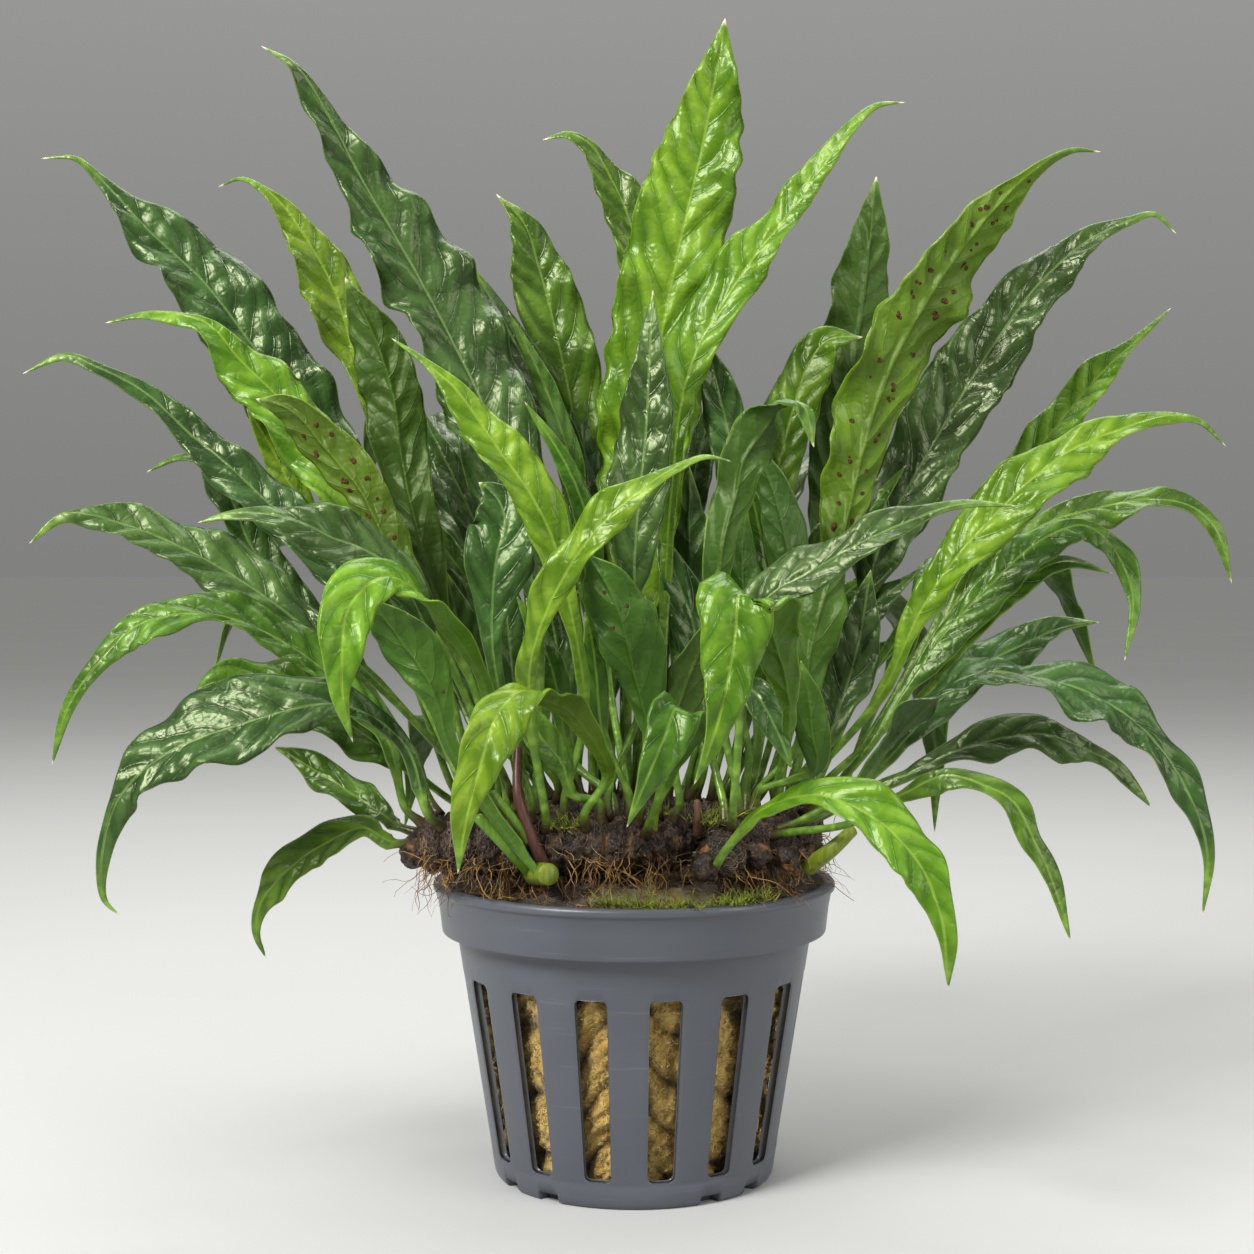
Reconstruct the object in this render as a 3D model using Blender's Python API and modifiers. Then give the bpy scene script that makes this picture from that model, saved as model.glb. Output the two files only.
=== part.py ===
"""Potted java fern: a slotted plastic net pot, its plug of mineral wool, the rhizomes that creep
over the plug and a crown of arching fronds, built at real size.

Lengths are millimetres until a mesh is made, where MM turns them into metres. +Z is up, the front
of the plant faces -Y, and the origin is the middle of the pot's underside.
"""
from collections import namedtuple
from math import cos, pi, radians, sin

import bmesh
import bpy
import numpy as np
from mathutils import Matrix, Vector

MM = 0.001
MERGE = 0.00001          # metres, for welding a curve's caps and a turned profile's poles
PATH_STEPS = 25          # points of a smooth path between two points of its route
AXIS_POINTS = 80         # close points along a rhizome's axis
TOUCH_GAP = 0.35         # clearance between a frond's foot and the rhizome it grows from

# Pot: a thin tapered cup with a stepped collar and a rolled lip
POT_HEIGHT = 41.0
LIP_RADIUS = 28.0
LIP_BEAD = 1.0
LIP_ROUND = 0.4
COLLAR_TOP_RADIUS = 27.5
COLLAR_FOOT_RADIUS = 26.75
COLLAR_HEIGHT = 7.0
BODY_TOP_RADIUS = 24.7
BASE_RADIUS = 19.36
BASE_ROUND = 0.9
BASE_ROUND_IN = 0.6
WALL = 1.15
FLOOR_THICKNESS = 2.2
POT_STEPS = 45

# Openings of the pot: tall wall slots, small drain notches in pairs, and slots in the floor
SLOT_COUNT = 15
SLOT_FIRST_ANGLE = -62.0
SLOT_BOTTOM = 3.8
SLOT_TOP = 28.4
SLOT_WIDTH_BOTTOM = 3.6
SLOT_WIDTH_TOP = 4.4
SLOT_CORNER = 0.7
SLOT_REACH = (14.0, 27.0)    # inner and outer radius of the block that cuts a wall slot
NOTCH_PAIR_OFFSET = -2.3
NOTCH_HALF_SPREAD = 11.25
NOTCH_WIDTH = 3.2
NOTCH_HEIGHT = 1.3
NOTCH_REACH = (17.6, 23.0)   # inner and outer radius of the block that cuts a notch
FLOOR_SLOT_COUNT = 6
FLOOR_SLOT_WIDTH = 2.6
FLOOR_SLOT_REACH = (6.5, 14.5)
CUT_MARGIN = 1.0             # how far a block passes the faces that it opens

# Growing medium: a plug of wool that sits inside the wall, lumpy behind each slot
MEDIUM_CLEARANCE = 0.45
MEDIUM_FOLD = 1.5
MEDIUM_LUMPS_HIGH = 3
MEDIUM_AROUND = 0.55         # share of the folds that run up and down, the rest run around
MEDIUM_FOOT_GAP = 0.35
MEDIUM_FOOT_ROUND = 0.8
MEDIUM_SHOULDER = 37.5
MEDIUM_EDGE = (21.5, 39.5)   # radius and height where the side turns into the top
MEDIUM_CROWN = (15.0, 42.4)  # radius and height of the flat of the top
MEDIUM_TOP = 42.6
MEDIUM_RINGS = 15

# Rhizomes: thick creeping stems, each a route of axis points with a radius at every point
Rhizome = namedtuple("Rhizome", "route radii rings")
RHIZOMES = {
    "front": Rhizome(((-25.5, -12.5, 47.4), (-12, -14, 47.2), (4.2, -12.8, 47.4)), (4.3, 4.4, 3.8), 9),
    "right": Rhizome(((11.2, -18.5, 46.4), (14.5, -11, 47.2), (20, -3, 47.6), (23.5, 6, 47.2)),
                     (3.2, 4.1, 4.2, 3.7), 8),
    "back": Rhizome(((-20, 10.5, 47.2), (-2, 8.2, 47.6), (15, 6.8, 47.3)), (4.0, 4.3, 3.8), 10),
}
RHIZOME_BUMP = 0.08      # depth of the groove between two old leaf segments, as a share of the radius
RHIZOME_NOSE = (0.96, 0.80, 0.45)    # radii of the rings of a rounded end, as shares of the radius

# Fronds: the section of a stalk, and of a blade at its midrib
STALK_HALF_WIDTH = 0.75
STALK_HALF_HEIGHT = 0.62
MIDRIB_ABOVE = 0.2
MIDRIB_BELOW = 0.5
BLADE_KEEL = 0.13        # how far the midrib lies below the margins, as a share of the half width
BLADE_WAVE = 0.10        # how far the margins rise and fall, as a share of the half width
FULL_BLADE = 5.0         # a blade as wide as this has nothing left of the stalk's shape
SEAT_REACH = 12.0        # farthest that a foot is looked for from its rhizome's axis
SEAT_STEPS = 30          # halvings of that distance
SEAT_LEAD = 2.5          # how far a stalk runs straight out of its rhizome before it bends
TIP_START = 0.985        # share of the length where the tip begins to close
TIP_STALK = 0.35         # thickness left at the tip, as a share of the stalk's
TIP_FADE = 0.06          # share of the length over which the tip closes
TIP_LEAST = 0.12         # smallest share of the thickness in that closing
SLOPE_STEP = 0.01        # share of the length to each side over which a frond's direction is taken

# Directions that the upper side of a blade can look in
UP = (0, 0, 1)
FRONT = (0, -1, 0)
BACK = (0, 1, 0)
FRONT_UP = (0, -0.8, 0.6)
UP_FRONT = (0, -0.6, 0.8)
BACK_UP = (0, 0.85, 0.5)

# Where a stalk leaves its rhizome: how far along it, and the direction in which it grows out
Seat = namedtuple("Seat", "rhizome along direction")
# One frond: stalk is the share of the length that has no blade, upper lists where the blade's
# upper side looks from foot to tip, left and right are the blade's half widths at its eighths on
# each side of the midrib, and route leads from near the foot to the tip
Frond = namedtuple("Frond", "name age seat stalk upper left right route")
FRONDS = (
    # Left side, from the tallest frond down to the lowest
    Frond("left_01", "old", Seat("back", 0.1, (-0.3, -0.2, 1)), 0.3, (FRONT_UP,),
          (3, 5, 6.3, 5.8, 5.2, 3.8, 1), (3, 5, 6.4, 6.4, 6.4, 4.7, 1),
          ((-31.5, 8, 78), (-45.5, 13, 102), (-56, 15, 117), (-63, 16, 126), (-71, 16, 133.5),
           (-78.5, 16, 141.5), (-81.5, 15, 144), (-86.5, 15, 144))),
    Frond("left_02", "young", Seat("back", 0.22, (-0.2, 0.2, 1)), 0.44, (FRONT_UP,),
          (0.8, 1, 1.6, 4.7, 4.5, 2.7, 0.9), (1, 2, 3, 3.8, 3.7, 2.3, 0.4),
          ((-28.5, 14, 76.5), (-35, 20, 96), (-41, 24, 112), (-45, 25, 125.5), (-49.5, 25, 134),
           (-54, 25, 140), (-59, 25, 143), (-62.5, 24, 141.5))),
    Frond("left_03", "old", Seat("front", 0.42, (0, 0.1, 1)), 0.22, (FRONT_UP,),
          (3.5, 5.5, 5.5, 4.6, 5.8, 3.4, 2.6), (3.5, 5.5, 6.8, 7.8, 6.8, 3.8, 1.2),
          ((-13, -9, 77), (-19, -4, 102), (-26.5, -1, 118), (-32.5, -1, 129), (-37.5, -1, 137.5),
           (-42.5, -2, 147), (-46.5, -3, 153), (-51, -4, 155.5))),
    Frond("left_04", "young", Seat("front", 0.3, (-0.1, 0.75, 0.65)), 0.32, (FRONT_UP,),
          (2.5, 4, 4.5, 4.8, 4.7, 2.5, 1.6), (3, 4.3, 4.6, 4, 3.8, 1.3, 0.3),
          ((-27, -3, 74.5), (-42, 1, 97), (-50, 3, 108), (-55.5, 3, 113.5), (-60, 3, 118.5),
           (-68, 3, 120), (-74, 2, 118.5))),
    Frond("left_05", "old", Seat("front", 0.16, (-0.3, 0.4, 0.9)), 0.32, (FRONT_UP,),
          (2.5, 3, 3.5, 3.2, 1.6, 1.4, 0.9), (2.5, 3.5, 3.8, 2.7, 2.6, 1.3, 0.7),
          ((-31.5, -6, 71.5), (-43.5, -3, 86.5), (-51, -2, 93.5), (-57, -1, 99), (-62, 0, 103),
           (-68, 0, 108.5), (-74.5, -1, 112), (-79, -1, 113.5), (-84.5, -2, 111))),
    Frond("left_06", "old", Seat("back", 0.03, (-0.6, -0.2, 0.8)), 0.32, (FRONT_UP,),
          (2, 2.5, 2.5, 2.5, 2.2, 2.6, 0.6), (2, 2.6, 3, 3.3, 3.6, 3.4, 1.2),
          ((-35.5, 5, 67), (-47.5, 8, 78), (-55, 10, 87), (-58, 10, 94), (-61.5, 10, 99.5),
           (-65.5, 10, 100), (-70, 9, 98))),
    Frond("left_07", "old", Seat("front", 0.05, (-0.5, 0.35, 0.8)), 0.26, (FRONT_UP,),
          (3, 4, 4.2, 3.7, 2.9, 2.4, 1.4), (2.5, 3.3, 4.6, 5.1, 4, 3.3, 0.3),
          ((-31.5, -9, 61.5), (-41.5, -7, 73), (-55.5, -6, 83.5), (-69.5, -6, 90), (-77.5, -7, 91.5),
           (-82, -8, 87.5))),
    Frond("left_08", "old", Seat("front", 0.19, (-0.2, 0, 1)), 0.36, (FRONT_UP,),
          (1.5, 2.5, 3.3, 3.8, 3.5, 1.9, 1), (1.8, 2.8, 3.3, 4.1, 3.8, 2, 0.7),
          ((-25, -15, 69.5), (-31, -20, 83.5), (-35, -21, 86.5), (-39, -22, 88), (-43, -23, 90),
           (-47.5, -23, 91), (-52, -23, 91), (-56, -23, 90))),
    Frond("left_09", "mature", Seat("front", 0, (-0.7, -0.25, 0.7)), 0.14,
          ((0, -0.45, 0.9), (0, -0.7, 0.7), FRONT_UP),
          (2, 2.5, 2.2, 0.8, 4, 1.4, 0.9), (3, 4, 5, 3.8, 2.5, 1.6, 0.9),
          ((-33, -13, 61), (-42, -14, 71), (-52, -16, 77), (-59, -17, 78), (-65, -18, 76.5),
           (-70, -19, 71.5), (-74, -19, 65.5), (-76, -19, 58.5))),
    Frond("left_10", "old", Seat("front", 0.06, (-0.45, -0.65, 0.6)), 0.1, (FRONT_UP,),
          (1, 1.2, 4.3, 5.6, 4.2, 2.6, 1), (1.5, 3, 5.7, 7.2, 5.2, 1.3, 0.7),
          ((-30, -17, 60.5), (-38, -23, 66.5), (-49, -26, 64.5), (-60, -27, 60), (-65.5, -27, 54.5),
           (-67.5, -27, 47), (-67.5, -26, 42), (-65.5, -26, 40))),
    Frond("left_11", "mature", Seat("back", 0, (-0.9, 0.1, 0.45)), 0.26, (FRONT_UP,),
          (2.5, 3.5, 4, 4, 4, 3.5, 2.2), (2, 3, 3.8, 4.3, 4.6, 4.2, 3),
          ((-37, 2, 60), (-45, 0, 65.5), (-53, -2, 68), (-57.5, -3, 67.5), (-61, -4, 64.5))),
    Frond("left_12", "mature", Seat("front", 0, (-0.95, -0.3, 0.05)), 0.11, (FRONT_UP,),
          (1, 2.5, 2.5, 1.9, 2.4, 1.3, 0.4), (2.2, 2.9, 2.9, 3, 2.2, 0.9, 0.5),
          ((-36, -14, 49.5), (-41, -14, 47.5), (-46, -14, 44), (-50, -13, 39), (-50.5, -13, 35.5),
           (-49.5, -12, 32))),
    Frond("left_13", "mature", Seat("front", 0, (-0.9, 0.25, 0.3)), 0.15, (FRONT_UP,),
          (0.8, 2, 2.6, 2.2, 2.3, 1.3, 0.4), (1.4, 2.2, 2.9, 2.6, 2.6, 2.5, 1.6),
          ((-34, -8, 50.5), (-42, -4, 55), (-50, -2, 59.5))),
    Frond("left_14", "young", Seat("front", 0.27, (-0.1, 0.05, 1)), 0.38, (BACK_UP,),
          (1.5, 2.4, 3, 3.3, 3.7, 3, 2), (1.5, 2, 2.4, 2.6, 3.3, 3.5, 2.8),
          ((-22, -12, 69.5), (-32, -12, 85.5), (-36.5, -11, 94.5), (-41.5, -10, 100.5),
           (-46, -10, 105.5), (-51, -9, 107))),
    # In front, many of them folded over toward the viewer
    Frond("front_01", "young", Seat("front", 0.22, (0, -0.35, 1)), 0.26, (BACK, BACK, UP, FRONT, FRONT),
          (1, 1.8, 2.2, 2.4, 3, 3, 0.9), (1, 1.5, 2, 3, 3.8, 2.7, 1.5),
          ((-19, -21, 68), (-21, -26, 73.5), (-23, -31, 77), (-26, -36, 80.5), (-29.5, -39, 83),
           (-32, -42, 82), (-34, -44, 79), (-34.5, -45, 73.5), (-34.5, -44, 68.5), (-33.5, -43, 63.5))),
    Frond("front_02", "mature", Seat("front", 0.46, (0, -0.85, -0.4)), 0.2, (BACK_UP,),
          (0.8, 1, 1.2, 1.5, 2.6, 3.8, 3.4), (0.8, 1, 1, 1.2, 2.2, 3.6, 3.2),
          ((-23.5, -23, 61), (-25, -24, 66.5), (-26.5, -25, 70.5), (-30, -25, 75.5), (-32, -26, 78.5),
           (-33, -27, 80.5))),
    Frond("front_03", "young", Seat("front", 0.64, (0, -0.7, 0.7)), 0.18,
          (BACK, BACK, (0, 0.1, 1), FRONT, FRONT),
          (1.2, 2, 3, 3.9, 3.9, 2.2, 0.8), (1.2, 2, 2.5, 2.8, 2.8, 2.6, 1.8),
          ((-3.5, -20, 57), (-5, -26, 62), (-8, -31, 66.5), (-11, -36, 68.5), (-14, -40, 69),
           (-16.5, -43, 66.5), (-18, -45, 62), (-19.5, -45, 56.5), (-21, -44, 48))),
    Frond("front_04", "young", Seat("front", 0.55, (0, -0.35, 0.94)), 0.28, (FRONT_UP,),
          (1, 2, 2.7, 2.3, 2.8, 2.4, 0.5), (1, 1.3, 3.2, 3.6, 3.1, 1.8, 0.8),
          ((-6.5, -19, 65), (-8.5, -23, 80), (-10, -23, 86.5), (-13, -23, 93), (-18, -22, 100),
           (-23, -21, 107), (-27.5, -20, 111), (-31.5, -19, 114))),
    Frond("front_05", "old", Seat("front", 0.4, (0, -0.45, 0.9)), 0.3, (FRONT_UP,),
          (0.8, 1, 1.7, 2.8, 4, 4.7, 3.4), (0.8, 1, 1.4, 3.1, 5, 4.5, 2.8),
          ((-17, -17, 64.5), (-18.5, -18, 73.5), (-18.5, -18, 80), (-18, -18, 85.5), (-17, -17, 90.5),
           (-18.5, -16, 94), (-20.5, -16, 95.5))),
    Frond("front_06", "young", Seat("front", 0.47, (0, -0.75, 0.65)), 0.26, (FRONT_UP,),
          (1.8, 2.1, 2.8, 2.9, 3.2, 1.8, 0.6), (0.5, 0.6, 1.3, 1.9, 2.2, 1.1, 0.9),
          ((-13.5, -24, 67.5), (-12, -29, 76), (-8.5, -31, 83.5), (-4.5, -32, 89), (0.5, -32, 93.5),
           (5, -31, 96.5), (8.5, -31, 98), (12, -30, 97.5))),
    Frond("front_07", "mature", Seat("front", 0.9, (0.1, -0.85, 0.5)), 0.24, (BACK, BACK, UP, FRONT, FRONT),
          (1, 1.6, 2.2, 3, 3.3, 2.4, 1.3), (1, 1.6, 2.2, 2.6, 2.6, 1.7, 0.6),
          ((4.5, -24, 58), (7, -31, 63), (6, -35, 66), (4, -37, 65.5), (2.5, -40, 62), (0.5, -40, 57),
           (-1, -40, 53))),
    Frond("front_08", "mature", Seat("front", 0.86, (0.1, -0.5, 0.87)), 0.28, (BACK_UP,),
          (1.5, 3, 4.3, 4.8, 4.6, 3.4, 2.4), (1.2, 1.8, 2.6, 3.4, 4, 4.3, 3.4),
          ((2, -17, 61.5), (0, -19, 70.5), (-2, -20, 78.5), (-3.5, -20, 82), (-6, -19, 86))),
    Frond("front_09", "old", Seat("front", 0.74, (0, -0.1, 1)), 0.4, (FRONT_UP,),
          (2, 3.4, 4.4, 4, 3.6, 2.4, 1.4), (2.2, 3.1, 4, 3.6, 3.6, 2.4, 1.2),
          ((1, -12, 66.5), (0, -13, 82.5), (0.5, -13, 92), (1.5, -12, 101.5), (2, -11, 110.5),
           (2.5, -10, 121.5))),
    Frond("front_10", "mature", Seat("right", 0.3, (-0.1, -0.4, 0.9)), 0.36,
          (BACK_UP, BACK_UP, BACK_UP, (0.3, 0.6, 0.7), FRONT_UP),
          (1, 1.6, 1.9, 2.5, 3.2, 3.2, 1.6), (1.6, 2.4, 2.8, 2.9, 3.3, 3.4, 2),
          ((11, -15, 68), (11, -15, 81), (12, -15, 89), (13.5, -14, 94), (14.5, -14, 98.5),
           (17, -14, 102.5), (19.5, -14, 106), (22, -15, 105.5), (23.5, -17, 100))),
    Frond("front_11", "young", Seat("right", 0.54, (0.1, -0.5, 0.85)), 0.26,
          (BACK, BACK, BACK, UP, FRONT, FRONT),
          (1.5, 2.4, 3.6, 5, 4.2, 3, 1.6), (1.5, 2.4, 3.6, 5, 4.4, 3, 1),
          ((20, -21, 64.5), (18, -32, 73), (15, -39, 79), (12, -42, 80.5), (11.5, -44, 74.5),
           (9.5, -45, 65.5), (7, -43, 58.5))),
    Frond("front_12", "old", Seat("right", 0.16, (0, -0.6, 0.8)), 0.34, (FRONT_UP,),
          (1.5, 3.4, 4.4, 2.6, 3.3, 1.5, 0.8), (1, 1.5, 3.4, 2.3, 2, 0.6, 0.4),
          ((13.5, -21, 63.5), (13, -25, 73), (16.5, -27, 80), (22, -28, 83.5), (28, -29, 87),
           (34.5, -29, 90), (40.5, -29, 92), (48, -28, 92))),
    Frond("front_13", "young", Seat("right", 0, (-0.1, -0.95, 0)), 0.22, (FRONT_UP,),
          (1, 2.6, 3.7, 4, 3.4, 2, 1.4), (1.6, 0.8, 2.2, 2.6, 3.5, 1.8, 0.6),
          ((11, -26, 47.5), (13, -28, 50.5), (15.5, -31, 53.5), (19.5, -36, 56), (23, -39, 56.5),
           (26, -41, 55.5), (29.5, -43, 53.5), (33.5, -45, 49), (36, -46, 42.5), (37, -45, 34.5))),
    # The upright middle
    Frond("centre_01", "mature", Seat("back", 0.36, (-0.1, 0.2, 1)), 0.28, (FRONT_UP,),
          (2, 3, 3.2, 3.2, 4, 4.9, 3.1), (2, 3, 3.8, 4.9, 5.3, 4.5, 2.8),
          ((-6, 13, 74), (-7.5, 18, 94.5), (-9, 19, 107), (-11.5, 20, 119), (-14, 21, 128.5),
           (-16.5, 21, 135.5), (-20.5, 21, 140))),
    Frond("centre_02", "mature", Seat("back", 0.58, (0, 0.3, 1)), 0.36, (FRONT_UP,),
          (2, 2.8, 3, 3, 3.2, 3.4, 2.2), (2, 2.5, 3, 3, 3.2, 3.5, 1),
          ((1, 16, 76.5), (2.5, 26, 110), (0.5, 30, 133), (-1, 30, 138.5), (-3.5, 31, 144),
           (-6.5, 31, 149), (-10, 31, 151), (-14, 31, 150))),
    Frond("centre_03", "young", Seat("back", 0.66, (0, -0.3, 1)), 0.18, (FRONT_UP,),
          (4, 6, 7.2, 7.4, 7.4, 6.7, 4), (4, 5.5, 6.3, 6.3, 6.2, 6.2, 4.4),
          ((1, 5, 74), (2, 8, 104), (6, 9, 128), (10, 9, 145.5), (13, 8, 162.5))),
    Frond("centre_04", "young", Seat("front", 0.95, (0.1, 0.3, 1)), 0.3, (FRONT_UP,),
          (2, 3.5, 4.8, 4.4, 4, 3, 1.4), (0.8, 1.2, 2.4, 3, 2.6, 1.4, 1),
          ((4, -6, 74.5), (5, -4, 93.5), (7.5, -3, 111), (14.5, -2, 124), (23, -1, 135),
           (30.5, -1, 145.5), (33.5, -1, 148), (37.5, -1, 148.5))),
    Frond("centre_05", "mature", Seat("back", 0.26, (0, -0.5, 0.87)), 0.34, (BACK_UP,),
          (1.5, 2.8, 3.5, 3.8, 4, 4, 2.5), (1.5, 2.5, 3.2, 3.8, 4.5, 4.5, 3.4),
          ((-23, 3, 68.5), (-31, 5, 91.5), (-33, 6, 100.5), (-34, 6, 108), (-36.5, 6, 116.5),
           (-41, 6, 125.5))),
    Frond("centre_06", "old", Seat("back", 0.48, (0, 0, 1)), 0.3, (FRONT_UP,),
          (2, 2.5, 2.8, 2.4, 2.2, 2, 1), (2, 2.3, 2.5, 2.4, 2.4, 2.4, 1.5),
          ((-3.5, 9, 74), (-6.5, 12, 93.5), (-10.5, 13, 103), (-16.5, 15, 115.5), (-24, 15, 129))),
    Frond("centre_07", "old", Seat("back", 0.8, (0, 0, 1)), 0.3, (FRONT_UP,),
          (2, 2.5, 3, 3.2, 3.2, 3, 2.3), (2, 2.5, 3, 3.1, 3, 3, 2.4),
          ((13.5, 9, 74), (15.5, 11, 94), (13, 11, 106.5), (10.5, 11, 117))),
    # Right side, from the tallest frond down to the lowest
    Frond("right_01", "mature", Seat("back", 0.95, (0.2, 0.3, 1)), 0.34, (BACK_UP,),
          (2.5, 3.5, 4, 4, 4, 3.8, 2.5), (2, 3.5, 4.5, 5.2, 5.3, 4.7, 2.8),
          ((24.5, 14, 73.5), (31, 23, 103.5), (35, 27, 126), (37, 28, 144))),
    Frond("right_02", "young", Seat("right", 0.66, (0.3, 0.1, 1)), 0.24, (BACK_UP,),
          (1.5, 2.8, 3.8, 5.2, 6.1, 4.4, 1.5), (2.8, 4.6, 5.2, 5.2, 4.2, 3.1, 0.7),
          ((25, 0, 66), (29.5, 3, 89), (35, 5, 109.5), (41, 5, 121.5), (47.5, 6, 131),
           (56.5, 5, 140.5), (61.5, 4, 143), (65.5, 3, 142.5))),
    Frond("right_03", "old", Seat("right", 0.84, (0.4, 0, 1)), 0.26, (FRONT_UP,),
          (3.5, 5.1, 6.2, 6.4, 4.8, 3.7, 1.2), (3.5, 5.2, 4.6, 5.5, 4.5, 3.4, 0.9),
          ((30, 7, 68), (36, 10, 88.5), (44, 13, 103), (52, 14, 116), (59, 14, 125.5), (66.5, 14, 132),
           (72, 13, 134.5), (75.5, 13, 135.5), (78.5, 12, 132.5))),
    Frond("right_04", "young", Seat("right", 0.97, (0.5, 0.3, 1)), 0.34, (FRONT_UP,),
          (2, 3, 3.3, 3.2, 3.3, 3.1, 1.4), (2, 3, 3.5, 3.5, 3.1, 2.5, 0.4),
          ((34, 13, 68), (51, 20, 90), (62, 23, 103.5), (71, 24, 114), (76.5, 24, 119), (81, 24, 123.5))),
    Frond("right_05", "young", Seat("right", 0.62, (0.45, -0.2, 0.9)), 0.26, (FRONT_UP,),
          (2, 2.4, 3.8, 4.2, 2.7, 2.3, 0.4), (1, 2.6, 3.6, 4.4, 4, 1.5, 1.1),
          ((33, -9, 66.5), (38.5, -11, 78.5), (43, -12, 85.5), (47.5, -12, 90.5), (53, -12, 96),
           (58.5, -12, 100), (64.5, -12, 102.5), (71.5, -11, 104.5), (75.5, -11, 104),
           (79.5, -10, 100.5))),
    Frond("right_06", "mature", Seat("right", 0.9, (0.8, 0.1, 0.7)), 0.3, (FRONT_UP,),
          (1.5, 2, 2, 2.2, 3, 2.2, 1.1), (1.5, 2.5, 3, 3.3, 3, 1.1, 1.2),
          ((35, 6, 62.5), (45.5, 9, 78), (53, 10, 85.5), (59.5, 11, 90.5), (66, 11, 92.5),
           (74.5, 11, 94), (80.5, 11, 93), (84, 10, 89.5), (86, 9, 82))),
    Frond("right_07", "mature", Seat("right", 0.7, (0.8, -0.2, 0.7)), 0.26, (FRONT_UP,),
          (0.8, 1.2, 2, 2.6, 1, 2.1, 1), (2.6, 3.4, 3.6, 3, 2.6, 1.5, 0.5),
          ((32, -4, 59), (37, -3, 66.5), (43, -2, 75), (50, -2, 82.5), (56.5, -1, 88), (62.5, -1, 90),
           (66.5, -2, 86.5), (68.5, -4, 80), (67, -6, 71.5))),
    Frond("right_08", "old", Seat("right", 0.76, (0.9, -0.1, 0.4)), 0.28, (FRONT_UP,),
          (1.5, 2.5, 3.2, 3.6, 4, 2.8, 2), (1.5, 2.5, 3.3, 3.7, 3.6, 2.2, 0.4),
          ((36, 2, 57.5), (43.5, 5, 65.5), (49.5, 7, 70), (55.5, 8, 73), (61.5, 9, 75.5), (67, 9, 76.5))),
    Frond("right_09", "old", Seat("right", 0.43, (0.8, -0.5, 0.4)), 0.2,
          (BACK_UP, (0, 0.3, 0.95), UP_FRONT, FRONT_UP, FRONT_UP),
          (4, 4.5, 3, 5.1, 2.9, 2.3, 1), (3, 3.5, 2.8, 5.4, 2.7, 1.9, 0.6),
          ((28.5, -14, 54.5), (34, -19, 62.5), (40, -22, 68.5), (45, -23, 70.5), (51, -24, 70),
           (58, -25, 68), (65, -26, 63), (70, -27, 55.5), (72.5, -27, 48), (72, -27, 40))),
    Frond("right_10", "old", Seat("right", 0.56, (0.85, -0.4, 0.4)), 0.26, (FRONT_UP,),
          (1.3, 2, 3.3, 3.4, 1.9, 1.3, 0.7), (0.8, 1.4, 3, 2.4, 3.4, 1.4, 1.4),
          ((29, -9, 53), (37, -11, 56.5), (43, -12, 59.5), (49.5, -13, 61.5), (54.5, -14, 62),
           (60, -14, 60), (64.5, -15, 57.5), (68.5, -15, 52.5))),
    Frond("right_11", "mature", Seat("right", 0.38, (0.7, -0.7, 0.25)), 0.34, (FRONT_UP,),
          (1, 1, 1.8, 1.8, 1.1, 1.7, 1), (1.3, 2.3, 0.9, 1.6, 1.8, 1, 0.5),
          ((28, -20, 51), (34.5, -26, 55.5), (39, -29, 58), (43.5, -31, 57), (47, -32, 55),
           (49.5, -33, 50), (51.5, -33, 45.5), (54, -33, 38))),
    Frond("right_12", "young", Seat("back", 0.88, (0.1, -0.1, 1)), 0.4, (FRONT_UP,),
          (1.5, 2.5, 3.2, 3.5, 3.8, 3.2, 2.6), (1.5, 2.5, 3, 3.3, 3.7, 4, 3.6),
          ((17, 12, 74), (21, 17, 97.5), (24, 19, 109), (26, 20, 114.5), (29, 20, 118), (34, 19, 118.5))),
    Frond("right_13", "old", Seat("right", 0.56, (0.2, -0.1, 1)), 0.3, (BACK_UP,),
          (2, 2.5, 2.8, 3, 3, 2.6, 1.8), (1.5, 2.3, 2.8, 3, 3, 2.4, 1.4),
          ((21.5, -6, 66), (22, -3, 80), (20, -2, 92.5), (16.5, -2, 102))),
    # Behind, arching away
    Frond("back_01", "mature", Seat("back", 0.06, (-0.4, 0.7, 0.6)), 0.22, (UP,),
          (2, 3.8, 4.8, 5, 4.4, 3, 1.4), (2.2, 4, 5, 4.8, 4, 2.6, 1.2),
          ((-33, 20, 72), (-47, 33, 92), (-60, 46, 88), (-70, 54, 66))),
    Frond("back_02", "old", Seat("back", 0.2, (-0.1, 0.8, 0.6)), 0.26, (UP,),
          (2, 3.8, 5.2, 5.5, 4.8, 3.4, 1.6), (2.4, 4.2, 5, 5.2, 5, 3, 1.2),
          ((-22, 24, 78), (-32, 40, 104), (-40, 54, 110), (-47, 68, 96))),
    Frond("back_03", "mature", Seat("back", 0.42, (0, 0.85, 0.5)), 0.24, (UP,),
          (2.4, 4.2, 5.4, 5.2, 4.4, 3.2, 1.4), (2, 3.8, 5, 5.5, 5, 3.4, 1.6),
          ((-8, 22, 72), (-12, 38, 94), (-14, 54, 94), (-15, 66, 74), (-15, 70, 54))),
    Frond("back_04", "young", Seat("back", 0.62, (0, 0.7, 0.7)), 0.26, ((0, 0.8, 0.6),),
          (2.2, 4, 5.4, 5.8, 5, 3.6, 1.8), (2.4, 4.4, 5.2, 5.4, 5.2, 3.2, 1.4),
          ((4, 21, 84), (6, 32, 116), (10, 42, 142), (14, 54, 154))),
    Frond("back_05", "old", Seat("back", 0.76, (0.1, 0.8, 0.6)), 0.24, (UP,),
          (2, 4, 5.2, 5.4, 4.6, 3, 1.4), (2.4, 4.2, 5.4, 5, 4.8, 3.4, 1.6),
          ((16, 23, 74), (24, 38, 98), (32, 52, 102), (39, 64, 86), (43, 70, 66))),
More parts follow.
